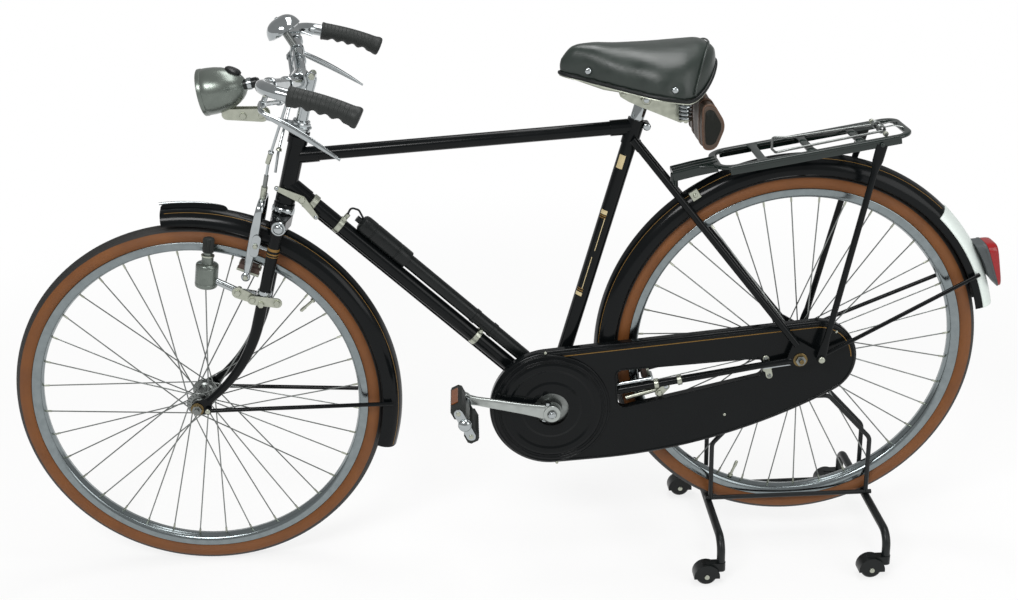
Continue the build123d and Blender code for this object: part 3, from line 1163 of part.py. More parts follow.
# Front brake: a rod from the left lever to a stirrup over the tyre, with a pad inside each side of the rim
STIRRUP_SPREAD = 38.0
STIRRUP_RADIUS = 4.0
STIRRUP_AHEAD = 40.0
STIRRUP_TOP = CROWN_TOP + RACE_HEIGHT + 8
STIRRUP_LENGTH = 106.0  # of the rear one
with BuildPart() as front_brake:
    stirrup_low = sqrt(PAD_LOW**2 - (FORK_RAKE - STIRRUP_AHEAD) ** 2)
    arch = [steer(stirrup_low, STIRRUP_AHEAD, STIRRUP_SPREAD), steer(STIRRUP_TOP, STIRRUP_AHEAD, STIRRUP_SPREAD),
            steer(STIRRUP_TOP, STIRRUP_AHEAD, -STIRRUP_SPREAD), steer(stirrup_low, STIRRUP_AHEAD, -STIRRUP_SPREAD)]
    bent_bar(arch, [20, 20], STIRRUP_RADIUS)
    rod_top = shoulder(0.12, 1) + Vector(LEVER_AHEAD, 0, -LEVER_DROP - LEVER_RADIUS - 2 * FIT)
    bent_bar([rod_top, steer(STIRRUP_TOP + 50, STIRRUP_AHEAD + 18, 26), steer(STIRRUP_TOP, STIRRUP_AHEAD, 12)], 20,
             ROD_RADIUS)
    for y_side in SIDES:
        foot = steer(stirrup_low, STIRRUP_AHEAD, STIRRUP_SPREAD * y_side)
        bar(foot, foot - LEFT * ((STIRRUP_SPREAD - PAD_SPREAD) * y_side), STIRRUP_RADIUS)
        brake_pad(FRONT_AXLE, angle_round(FRONT_AXLE, foot), y_side)
        guide = steer(CROWN_LOW - 40, STIRRUP_AHEAD, STIRRUP_SPREAD * y_side)
        blade_side = steer(CROWN_LOW - 40, 0, BLADE_SPREAD * y_side)
        toward = (guide - blade_side).normalized()
        bar(blade_side + toward * (BLADE_RADIUS + FIT), guide, ROD_RADIUS)

# Bottle dynamo on a bracket clamped to the left fork blade
DYNAMO_AT = 12.3
DYNAMO_SPREAD = 42.0
DYNAMO_RADIUS = 20.0
DYNAMO_BASE = 108.0  # inside the tyre's crown
with BuildPart() as dynamo:
    outward = (round_wheel(FRONT_AXLE, 1, DYNAMO_AT) - FRONT_AXLE).normalized()
    base = round_wheel(FRONT_AXLE, TYRE_RADIUS - DYNAMO_BASE, DYNAMO_AT, DYNAMO_SPREAD)
    turned(base, outward, [(0, 0), (0, DYNAMO_RADIUS * 0.6), (5, DYNAMO_RADIUS * 0.9), (9, DYNAMO_RADIUS),
                           (40, DYNAMO_RADIUS), (48, DYNAMO_RADIUS * 0.8), (54, DYNAMO_RADIUS * 0.5),
                           (70, DYNAMO_RADIUS * 0.4),
                           (70, DYNAMO_RADIUS * 0.5), (96, DYNAMO_RADIUS * 0.5), (98, DYNAMO_RADIUS * 0.35), (98, 0)])
    clamp_at = BEND_START + 46
    clamp_low = steer(clamp_at, 0, BLADE_SPREAD)
    bar(clamp_low, clamp_low + STEER * 18, BLADE_RADIUS + BAND_WALL + 1)
    bar(clamp_low + STEER * 9, base + outward * 22, 5)
    bar(clamp_low - STEER, clamp_low + STEER * 20, BLADE_RADIUS + FIT, mode=Mode.SUBTRACT)

# Rear brake: a stirrup lying on the chain stays, its rod under the down tube, and a bell crank at the head lug
STIRRUP_FAR = share_at(chain_stay, PAD_LOW)
STIRRUP_NEAR = STIRRUP_FAR - STIRRUP_LENGTH / CHAIN_STAY_LENGTH
ROD_UNDER = 20.0
with BuildPart() as rear_brake:
    lift = UP * (CHAIN_STAY_RADIUS + STIRRUP_RADIUS + FIT)
    places = ((STIRRUP_FAR, 1), (STIRRUP_NEAR, 1), (STIRRUP_NEAR, -1), (STIRRUP_FAR, -1))
    loop = [chain_stay(*place) + lift for place in places]
    bent_bar(loop, [16, 16], STIRRUP_RADIUS)
    bridge = (loop[1] + loop[2]) * 0.5
    bent_bar([bridge, at(BB_BACK + 15, BB_HEIGHT - BB_RADIUS - 20), at(BB_BACK - 35, BB_HEIGHT - BB_RADIUS - 20),
              along_down_tube(LUG_REACH + 30, -ROD_UNDER), along_down_tube(DOWN_TUBE_LENGTH - LUG_REACH, -ROD_UNDER)],
             [12, 12, 12], ROD_RADIUS)
    pivot = along_down_tube(DOWN_TUBE_LENGTH - LUG_REACH - 12)
    bar(pivot - DOWN_TUBE * 6, pivot + DOWN_TUBE * 6, MAIN_TUBE_RADIUS + BAND_WALL + 1)
    bar(pivot - DOWN_TUBE * 8, pivot + DOWN_TUBE * 8, MAIN_TUBE_RADIUS + FIT, mode=Mode.SUBTRACT)
    for y_side in SIDES:
        foot = chain_stay(STIRRUP_FAR, y_side) + lift
        bar(foot, Vector(foot.X, PAD_SPREAD * y_side, foot.Z), STIRRUP_RADIUS)
        brake_pad(REAR_AXLE, angle_round(REAR_AXLE, foot), y_side)

# Stand, drawn on the floor: two bent legs across, which carry the tyre, and a hoop each side of the wheel
PITCH = degrees(asin(STAND_LIFT / WHEEL_BASE))
WHEEL_BACK = WHEEL_BASE * cos(radians(PITCH))
WHEEL_UP = TYRE_RADIUS + STAND_LIFT
LEG_UP = WHEEL_UP - sqrt((TYRE_RADIUS + FIT + LEG_RADIUS) ** 2 - LEG_REACH**2)
CASTOR_TOP = 2 * CASTOR_RADIUS + CASTOR_HOOD_GAP + CASTOR_HOOD_WALL + 1
ENDS = (-1, 1)
with BuildPart() as stand_legs:
    for end in ENDS:
        u = WHEEL_BACK + LEG_REACH * end
        bent_bar([at(u, CASTOR_TOP, LEG_SPREAD), at(u, LEG_UP, LEG_SPREAD), at(u, LEG_UP, -LEG_SPREAD),
                  at(u, CASTOR_TOP, -LEG_SPREAD)], [LEG_BEND, LEG_BEND], LEG_RADIUS)
        for y_side in SIDES:
            bar(at(u, CASTOR_TOP, LEG_SPREAD * y_side), at(u, CASTOR_TOP + CASTOR_STEM + 1, LEG_SPREAD * y_side),
                CASTOR_STEM_RADIUS + FIT, mode=Mode.SUBTRACT)

with BuildPart() as stand_hoops:
    sill = LEG_UP + LEG_RADIUS + FIT + HOOP_RADIUS
    for y_side in SIDES:
        y = HOOP_SPREAD * y_side
        half = [(HOOP_REACH, sill), (HOOP_REACH, WHEEL_UP - HOOP_SHOULDER), (HOOP_TOP_REACH, WHEEL_UP - HOOP_TOP)]
        front = [at(WHEEL_BACK - reach, z, y) for reach, z in half]
        rear = [at(WHEEL_BACK + reach, z, y) for reach, z in reversed(half)]
        bent_bar(front + rear, [HOOP_BEND] * 4, HOOP_RADIUS)
        overhang = LEG_REACH + LEG_RADIUS
        bar(at(WHEEL_BACK - overhang, sill, y), at(WHEEL_BACK + overhang, sill, y), HOOP_RADIUS)


def castor_hood(u, y):
    """Adds a castor's hood with its axle pin, and the stem that turns in the leg."""
    axle = at(u - CASTOR_TRAIL, CASTOR_RADIUS, y)
    half = CASTOR_WIDTH / 2 + CASTOR_HOOD_GAP + CASTOR_HOOD_WALL
    room = CASTOR_RADIUS + CASTOR_HOOD_GAP
    with BuildSketch(side(y - half)) as cheek:
        with Locations(flat(axle)):
            Circle(room + CASTOR_HOOD_WALL)
            with Locations((0, -room)):
                Rectangle(4 * room, 2 * room - 8, mode=Mode.SUBTRACT)
    extrude(cheek.sketch, amount=2 * half)
    with BuildSketch(Plane.XY.offset(CASTOR_RADIUS + 8)) as web:
        with Locations((-u + CASTOR_TRAIL / 2, y)):
            SlotCenterToCenter(CASTOR_TRAIL, 2 * LEG_RADIUS + 2)
    extrude(web.sketch, amount=CASTOR_TOP - FIT - CASTOR_RADIUS - 8)
    bar(at(u, CASTOR_TOP - 4, y), at(u, CASTOR_TOP + CASTOR_STEM, y), CASTOR_STEM_RADIUS)
    bar(axle - LEFT * (half - CASTOR_HOOD_WALL), axle + LEFT * (half - CASTOR_HOOD_WALL), room, mode=Mode.SUBTRACT)
    bar(axle - LEFT * half, axle + LEFT * half, CASTOR_PIN_RADIUS)


def castor_wheel(u, y):
    """Adds a castor's wheel with a bore for its pin."""
    axle = at(u - CASTOR_TRAIL, CASTOR_RADIUS, y)
    half = CASTOR_WIDTH / 2
    turned(axle, LEFT, [(-half, CASTOR_PIN_RADIUS + FIT), (-half, CASTOR_RADIUS - 3), (-half + 3, CASTOR_RADIUS),
                        (half - 3, CASTOR_RADIUS), (half, CASTOR_RADIUS - 3), (half, CASTOR_PIN_RADIUS + FIT)])


castors = {}
for end, end_name in zip(ENDS, ("front", "rear")):
    for y_side, side_name in zip(SIDES, ("left", "right")):
        place = (WHEEL_BACK + LEG_REACH * end, LEG_SPREAD * y_side)
        with BuildPart() as hood:
            castor_hood(*place)
        with BuildPart() as wheel:
            castor_wheel(*place)
        castors[f"castor_hood_{end_name}_{side_name}"] = hood
        castors[f"castor_wheel_{end_name}_{side_name}"] = wheel

# Place every piece: the bicycle is tipped by the stand, then everything is shifted to the middle
bicycle = {
    "head_tube": head_tube, "top_tube": top_tube, "down_tube": down_tube, "seat_tube": seat_tube,
    "bottom_bracket": bottom_bracket, "chain_stays": chain_stays, "seat_stays": seat_stays, "seat_post": seat_post,
    "saddle": saddle, "tool_bag": tool_bag, "chain_case": chain_case, "chain_case_disc": chain_case_disc,
    "rear_mudguard": rear_mudguard, "mudguard_tail": mudguard_tail, "rear_mudguard_stays": rear_mudguard_stays,
    "rack": rack, "rack_clip": rack_clip, "rear_lamp_housing": rear_lamp_housing, "rear_lamp_lens": rear_lamp_lens,
    "pump": pump, "rear_brake": rear_brake, "rear_axle": rear_axle, "fork_crown": fork_crown,
    "fork_blades": fork_blades, "front_axle": front_axle, "stem": stem, "handlebar": handlebar, "grips": grips,
    "brake_levers": brake_levers, "bell": bell, "headlamp": headlamp, "headlamp_glass": headlamp_glass,
    "front_brake": front_brake, "dynamo": dynamo, "front_mudguard": front_mudguard, "mudguard_crest": mudguard_crest,
    "front_mudguard_stays": front_mudguard_stays, "front_tyre": front_tyre, "front_rim": front_rim,
    "front_hub": front_hub, "rear_tyre": rear_tyre, "rear_rim": rear_rim, "rear_hub": rear_hub,
    "crank_arms": crank_arms, "chainwheel": chainwheel, "pedal_left": pedal_left,
    "pedal_left_rubbers": pedal_left_rubbers, "pedal_right": pedal_right, "pedal_right_rubbers": pedal_right_rubbers,
}
stand = {"stand_legs": stand_legs, "stand_hoops": stand_hoops, **castors}

TIPPED = Pos(FRONT_AXLE) * Rot(0, PITCH, 0) * Pos(FRONT_AXLE * -1)
rear_reach = rear_lamp_lens.part.moved(TIPPED).bounding_box().min.X
SHIFT = Pos(-(rear_reach + TYRE_RADIUS) / 2, 0, 0)

os.makedirs("parts", exist_ok=True)
for pieces, place in ((bicycle, SHIFT * TIPPED), (stand, SHIFT)):
    for name, piece in pieces.items():
        placed = piece.part.moved(place)
        placed.label = name
        export_step(placed, f"parts/{name}.step")
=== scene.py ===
import json
import bmesh
import bpy
import numpy as np
from mathutils import Matrix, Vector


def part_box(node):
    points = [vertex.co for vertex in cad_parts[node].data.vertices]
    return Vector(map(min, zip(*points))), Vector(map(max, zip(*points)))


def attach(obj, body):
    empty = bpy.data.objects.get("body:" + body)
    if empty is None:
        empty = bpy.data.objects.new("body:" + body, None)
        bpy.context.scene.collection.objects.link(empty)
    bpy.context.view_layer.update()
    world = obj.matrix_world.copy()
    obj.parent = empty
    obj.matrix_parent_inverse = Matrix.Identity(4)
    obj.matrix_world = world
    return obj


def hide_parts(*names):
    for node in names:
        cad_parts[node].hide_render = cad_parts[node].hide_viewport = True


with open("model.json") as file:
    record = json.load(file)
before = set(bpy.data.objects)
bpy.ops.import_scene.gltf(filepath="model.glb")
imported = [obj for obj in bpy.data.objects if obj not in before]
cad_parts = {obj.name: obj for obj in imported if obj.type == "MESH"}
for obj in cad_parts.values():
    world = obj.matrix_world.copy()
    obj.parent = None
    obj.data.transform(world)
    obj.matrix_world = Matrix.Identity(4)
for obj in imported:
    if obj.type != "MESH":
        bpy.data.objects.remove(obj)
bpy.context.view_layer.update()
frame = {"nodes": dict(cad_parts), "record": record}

bl_info = {
    "name": "Roadster bicycle on a parking stand",
    "version": (1, 0, 0),
    "blender": (4, 5, 0),
    "location": "View3D > Sidebar > Roadster",
    "description": "Dresses the packed roadster bicycle with its fine pieces, finishes and studio",
    "category": "Object",
}

MM = 0.001
WELD = 2e-6
LEFT = np.array((0.0, 1.0, 0.0))
UP = np.array((0.0, 0.0, 1.0))
SIDES = (1, -1)


# Frame of reference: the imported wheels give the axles, and the bicycle's own level is the line between them
def middle(node):
    """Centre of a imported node's box."""
    low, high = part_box(node)
    return (np.array(low) + np.array(high)) / 2


def unit(vector):
    """Vectors scaled to length one."""
    vector = np.asarray(vector, float)
    return vector / np.linalg.norm(vector, axis=-1, keepdims=True)


def axes(origin, first, second, third):
    """A local frame: gives the point a, b and c millimetres along its three directions."""
    def at(a, b=0.0, c=0.0):
        a, b, c = [np.asarray(value, float)[..., None] for value in (a, b, c)]
        return origin + MM * (a * first + b * second + c * third)
    return at


TYRE_RADIUS = 355.5
FRONT_AXLE = middle("front_tyre")
REAR_AXLE = middle("rear_tyre")
BACK = unit(REAR_AXLE - FRONT_AXLE)
RISE = np.cross(LEFT, BACK)
level = axes(FRONT_AXLE - MM * TYRE_RADIUS * RISE, BACK, RISE, LEFT)


def slant(degrees):
    """A direction that leans back by so many degrees from level, and the direction ahead of it and square to it."""
    turn = np.radians(degrees)
    along = BACK * np.cos(turn) + RISE * np.sin(turn)
    return along, np.cross(along, LEFT) * -1


# Angles in degrees and sizes in millimetres; heights on the steering run along its axis
HEAD_ANGLE = 71.0
SEAT_ANGLE = 70.0
STEER, STEER_AHEAD = slant(HEAD_ANGLE)
SEAT, SEAT_AHEAD = slant(SEAT_ANGLE)
FORK_RAKE = 79.0
CROWN_LOW = 386.5
HEAD_LOW = 430.3
NUT_LOW = 568.1
NUT_TOP = 588.1
STEM_TOP = 670.1
BAR_RADIUS = 11.1
BLADE_OUT = 52.0
SEAT_LUG = 564.0
BB_BACK, BB_RISE = 675.0, 291.0
BB = level(BB_BACK, BB_RISE)
steer = axes(FRONT_AXLE - MM * FORK_RAKE * STEER_AHEAD, STEER, STEER_AHEAD, LEFT)
seat = axes(BB, SEAT, SEAT_AHEAD, LEFT)
bar_frame = axes(steer(STEM_TOP - 10.0, 19.0), BACK, RISE, LEFT)
post_frame = axes(seat(SEAT_LUG + 54.0), BACK, RISE, LEFT)
rear_wheel_frame = axes(REAR_AXLE, BACK, RISE, LEFT)
front_wheel_frame = axes(FRONT_AXLE, BACK, RISE, LEFT)
# The down tube aims at a joint on the steering axis; both heights are over the ground
DOWN_JOINT, STEER_FOOT = 770.0, 329.78
DOWN = unit(steer((DOWN_JOINT - STEER_FOOT) / np.sin(np.radians(HEAD_ANGLE))) - BB)
down_tube = axes(BB, DOWN, np.cross(DOWN, LEFT), LEFT)


# Shapes: every piece is a set of grids of points, whose neighbours make quads
# How a grid joins up: whether its last row meets its first, and its last column its first
RING = (False, True)
CLOSED = (True, True)


def turned(origin, along, profile, segments=48):
    """A turned form: the profile's (distance along, radius) in millimetres, carried round the axis."""
    along = unit(along)
    across = unit(np.cross(along, UP if abs(along[2]) < 0.9 else LEFT))
    over = np.cross(along, across)
    profile = np.asarray(profile, float)
    turn = np.linspace(0, 2 * np.pi, segments, endpoint=False)
    ring = np.cos(turn)[:, None] * across + np.sin(turn)[:, None] * over
    return origin + MM * (profile[:, :1, None] * along + profile[:, 1:, None] * ring)


def rounded(points, bends, steps=10):
    """A path of straight runs whose corners are arcs of the given radii in millimetres."""
    points = np.asarray(points, float)
    path = [points[:1]]
    for before, corner, after, bend in zip(points[:-2], points[1:-1], points[2:], bends):
        first, second = unit(corner - before), unit(after - corner)
        turn = np.arccos(np.clip(first @ second, -1, 1))
        inward = unit(second - first * (first @ second))
        start = corner - first * (MM * bend * np.tan(turn / 2))
        angle = np.linspace(0, turn, steps)[:, None]
        path.append(start + MM * bend * (first * np.sin(angle) + inward * (1 - np.cos(angle))))
    return np.concatenate([*path, points[-1:]])


def swept(path, radius, sides=14, wide=1.0, tall=1.0, square=LEFT, boxy=1.0, loop=False):
    """A ring carried along a path, its radius in millimetres; wide runs across the path and the square direction."""
    path = np.asarray(path, float)
    along = unit(np.roll(path, -1, 0) - np.roll(path, 1, 0) if loop else np.gradient(path, axis=0))
    across = unit(np.cross(along, square))
    over = np.cross(across, along)
    turn = np.linspace(0, 2 * np.pi, sides, endpoint=False)
    flat, deep = [np.sign(part) * np.abs(part) ** boxy for part in (np.cos(turn), np.sin(turn))]
    radius = np.asarray(radius, float)
    size = MM * (radius[..., None] if radius.ndim == 2 else np.broadcast_to(radius, len(path))[:, None, None])
    wide = np.broadcast_to(np.asarray(wide, float), len(path))[:, None, None]
    tall = np.broadcast_to(np.asarray(tall, float), len(path))[:, None, None]
    ring = path[:, None] + size * (wide * flat[:, None] * across[:, None]
                                   + tall * deep[:, None] * over[:, None])
    if loop:
        return ring
    close = np.repeat(path[[0, -1], None], sides, axis=1)
    return np.concatenate([close[:1], ring, close[1:]])


def straight_bars(starts, ends, radius, sides=8):
    """Many straight round bars at once, one grid for each pair of ends."""
    starts, ends = np.asarray(starts, float), np.asarray(ends, float)
    along = unit(ends - starts)
    across = unit(np.cross(along, np.where(np.abs(along[:, 1:2]) > 0.9, UP, LEFT)))
    over = np.cross(along, across)
    turn = np.linspace(0, 2 * np.pi, sides, endpoint=False)
    ring = np.cos(turn)[None, :, None] * across[:, None] + np.sin(turn)[None, :, None] * over[:, None]
    share = np.array((0, 0, 1, 1.0))[None, :, None, None]
    size = MM * radius * np.array((0, 1, 1, 0.0))[None, :, None, None]
    return starts[:, None, None] * (1 - share) + ends[:, None, None] * share + ring[:, None] * size


def bar(start, end, radius, sides):
    """One straight round bar between two points."""
    return straight_bars([start], [end], radius, sides)


def smooth_table(table, share):
    """Smooth values between a table's rows (position, value, ...): cubic runs whose slopes come from the neighbours."""
    table = np.asarray(table, float)
    place, values = table[:, 0], table[:, 1:]
    slope = np.gradient(values, place, axis=0)
    share = np.clip(np.asarray(share, float), place[0], place[-1])
    row = np.clip(np.searchsorted(place, share, side="right") - 1, 0, len(place) - 2)
    gap = (place[row + 1] - place[row])[:, None]
    t = ((share - place[row]) / gap[:, 0])[:, None]
    return (values[row] * (1 + 2 * t) * (1 - t) ** 2 + slope[row] * gap * t * (1 - t) ** 2
            + values[row + 1] * t ** 2 * (3 - 2 * t) + slope[row + 1] * gap * t ** 2 * (t - 1))


def piece(name, surfaces, body, stands_for=(), sharp=40.0):
    """Makes one object from surfaces (grid, finish[, how it joins up[, size of the UV map in metres]])."""
    points, quads, look_of, uv, looks = [], [], [], [], []
    start = 0
    for grid, look, *extra in surfaces:
        closed = extra[0] if extra else RING
        batch = np.asarray(grid, float).reshape(-1, *np.shape(grid)[-3:])
        count, rows, cols = batch.shape[:3]
        row = np.arange(rows - (not closed[0]))[:, None]
        col = np.arange(cols - (not closed[1]))[None]
        corners = [(row, col), (row, col + 1), (row + 1, col + 1), (row + 1, col)]
        quad = np.stack([np.broadcast_to((r % rows) * cols + c % cols, (row.size, col.size))
                         for r, c in corners], -1).reshape(1, -1, 4)
        quads.append((quad + (np.arange(count) * rows * cols)[:, None, None]).reshape(-1, 4) + start)
        wide, tall = extra[1] if extra[1:] else (1.0, 1.0)
        corner_uv = np.stack([np.stack(np.broadcast_arrays(r / max(rows - (not closed[0]), 1) * wide,
                                                           c / max(cols - (not closed[1]), 1) * tall), -1)
                              for r, c in corners], 2)
        uv.append(np.broadcast_to(corner_uv.reshape(1, -1, 2), (count, row.size * col.size * 4, 2)).reshape(-1, 2))
        points.append(batch.reshape(-1, 3))
        start += batch.size // 3
        if look not in looks:
            looks.append(look)
        look_of.append(np.full(len(quads[-1]), looks.index(look)))
    mesh = bpy.data.meshes.new(name)
    mesh.from_pydata(np.concatenate(points), [], np.concatenate(quads))
    mesh.uv_layers.new(name="UVMap").data.foreach_set("uv", np.concatenate(uv).astype(np.float32).ravel())
    mesh.polygons.foreach_set("material_index", np.concatenate(look_of).astype(np.int32))
    for look in looks:
        mesh.materials.append(bpy.data.materials[look])
    form = bmesh.new()
    form.from_mesh(mesh)
    bmesh.ops.remove_doubles(form, verts=form.verts, dist=WELD)
    bmesh.ops.recalc_face_normals(form, faces=form.faces)
    form.to_mesh(mesh)
    form.free()
    mesh.shade_smooth()
    mesh.set_sharp_from_angle(angle=np.radians(sharp))
    made = bpy.data.objects.new(name, mesh)
    bpy.context.scene.collection.objects.link(made)
    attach(made, body)
    if stands_for:
        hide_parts(*stands_for)
    return made


# Finishes
def linear(hex_colour):
    """The linear colour of an sRGB hex value."""
    value = np.array([int(hex_colour[i:i + 2], 16) for i in (1, 3, 5)]) / 255
    return (*np.where(value <= 0.04045, value / 12.92, ((value + 0.055) / 1.055) ** 2.4), 1.0)


def add(tree, kind, inputs=None, **settings):
    """Adds a node, with its settings, and its inputs as plain values or as links."""
    node = tree.nodes.new(kind)
    for name, value in settings.items():
        setattr(node, name, value)
    for name, value in (inputs or {}).items():
        if isinstance(value, bpy.types.NodeSocket):
            tree.links.new(value, node.inputs[name])
        else:
            node.inputs[name].default_value = value
    return node


def new_finish(name):
    """A material with an empty node tree and its output."""
    material = bpy.data.materials.new(name)
    material.use_nodes = True
    tree = material.node_tree
    tree.nodes.clear()
    return tree, add(tree, "ShaderNodeOutputMaterial")


def finish(name, colour, other, blotch_mm, rough, spread, grain_mm, grain_depth_mm, metallic=0.0, ior=1.5,
           coat=0.0, shine=0.5):
    """A finish with two colours in soft blotches, an uneven gloss and a fine grain, from sizes in millimetres."""
    tree, output = new_finish(name)
    place = add(tree, "ShaderNodeTexCoord").outputs["Object"]
    blotch = add(tree, "ShaderNodeTexNoise", {"Vector": place, "Scale": 1000 / blotch_mm, "Detail": 4.0})
    shade = add(tree, "ShaderNodeMix", {"Factor": blotch.outputs["Fac"]}, data_type="RGBA")
    shade.inputs["A"].default_value = colour
    shade.inputs["B"].default_value = linear(other)
    gloss = add(tree, "ShaderNodeMapRange", {"Value": blotch.outputs["Fac"], "From Min": 0.3, "From Max": 0.7,
                                             "To Min": rough - spread, "To Max": rough + spread})
    grain = add(tree, "ShaderNodeTexNoise", {"Vector": place, "Scale": 1000 / grain_mm, "Detail": 2.0})
    bump = add(tree, "ShaderNodeBump", {"Height": grain.outputs["Fac"], "Distance": MM * grain_depth_mm,
                                        "Strength": 1.0})
    shader = add(tree, "ShaderNodeBsdfPrincipled", {
        "Base Color": shade.outputs["Result"], "Roughness": gloss.outputs["Result"], "Normal": bump.outputs["Normal"],
        "Metallic": metallic, "IOR": ior, "Coat Weight": coat, "Coat Roughness": 0.08,
        "Specular IOR Level": shine})
    tree.links.new(shader.outputs["BSDF"], output.inputs["Surface"])


# The tyre's section in its UV map: the tread's middle, where the wall starts and is full, and the mould lines' pitch
TREAD_MIDDLE = 0.4928
WALL_START, WALL_FULL = 0.224, 0.232
MOULD_LINES = 420.0


def gum_tyre(colour):
    """Tyre rubber: dark ribbed tread on the crown, tan gum walls with fine mould lines, by the UV map's first value."""
    tree, output = new_finish("gum_tyre")
    spot = add(tree, "ShaderNodeUVMap", uv_map="UVMap").outputs["UV"]
    across = add(tree, "ShaderNodeSeparateXYZ", {"Vector": spot}).outputs["X"]
    out = add(tree, "ShaderNodeMath", {0: across, 1: TREAD_MIDDLE}, operation="SUBTRACT")
    out = add(tree, "ShaderNodeMath", {0: out.outputs[0]}, operation="ABSOLUTE").outputs[0]
    place = add(tree, "ShaderNodeTexCoord").outputs["Object"]
    wear = add(tree, "ShaderNodeTexNoise", {"Vector": place, "Scale": 22.0, "Detail": 5.0}).outputs["Fac"]
    drift = add(tree, "ShaderNodeMath", {0: wear, 1: 0.012, 2: out}, operation="MULTIPLY_ADD").outputs[0]
    wall = add(tree, "ShaderNodeMapRange", {"Value": drift, "From Min": WALL_START,
                                            "From Max": WALL_FULL}).outputs["Result"]
    gum = add(tree, "ShaderNodeMix", {"Factor": wear}, data_type="RGBA")
    gum.inputs["A"].default_value = colour
    gum.inputs["B"].default_value = linear("#7C4812")
    shade = add(tree, "ShaderNodeMix", {"Factor": wall, "B": gum.outputs["Result"]}, data_type="RGBA")
    shade.inputs["A"].default_value = linear("#1D1C1A")
    line = add(tree, "ShaderNodeMath", {0: out, 1: MOULD_LINES}, operation="MULTIPLY").outputs[0]
    line = add(tree, "ShaderNodeMath", {0: line}, operation="SINE").outputs[0]
    bump = add(tree, "ShaderNodeBump", {"Height": line, "Distance": 0.0002, "Strength": 0.6})
    shader = add(tree, "ShaderNodeBsdfPrincipled", {"Roughness": 0.55, "IOR": 1.5, "Normal": bump.outputs["Normal"],
                                                    "Base Color": shade.outputs["Result"]})
    tree.links.new(shader.outputs["BSDF"], output.inputs["Surface"])


# Scale of the wave that gives the lamp glass its ribs
LENS_RIBS = 39.79


def clear(name, colour, rough, ribs):
    """Clear moulded lens: light passes through, and vertical ribs scatter it, by the scale of a wave texture."""
    tree, output = new_finish(name)
    place = add(tree, "ShaderNodeTexCoord").outputs["Object"]
    ribs = add(tree, "ShaderNodeTexWave", {"Vector": place, "Scale": ribs}, bands_direction="Y")
    bump = add(tree, "ShaderNodeBump", {"Height": ribs.outputs["Fac"], "Distance": 0.0004})
    shader = add(tree, "ShaderNodeBsdfPrincipled", {
        "Base Color": linear(colour), "Roughness": rough, "IOR": 1.49, "Transmission Weight": 0.85,
        "Normal": bump.outputs["Normal"]})
    tree.links.new(shader.outputs["BSDF"], output.inputs["Surface"])


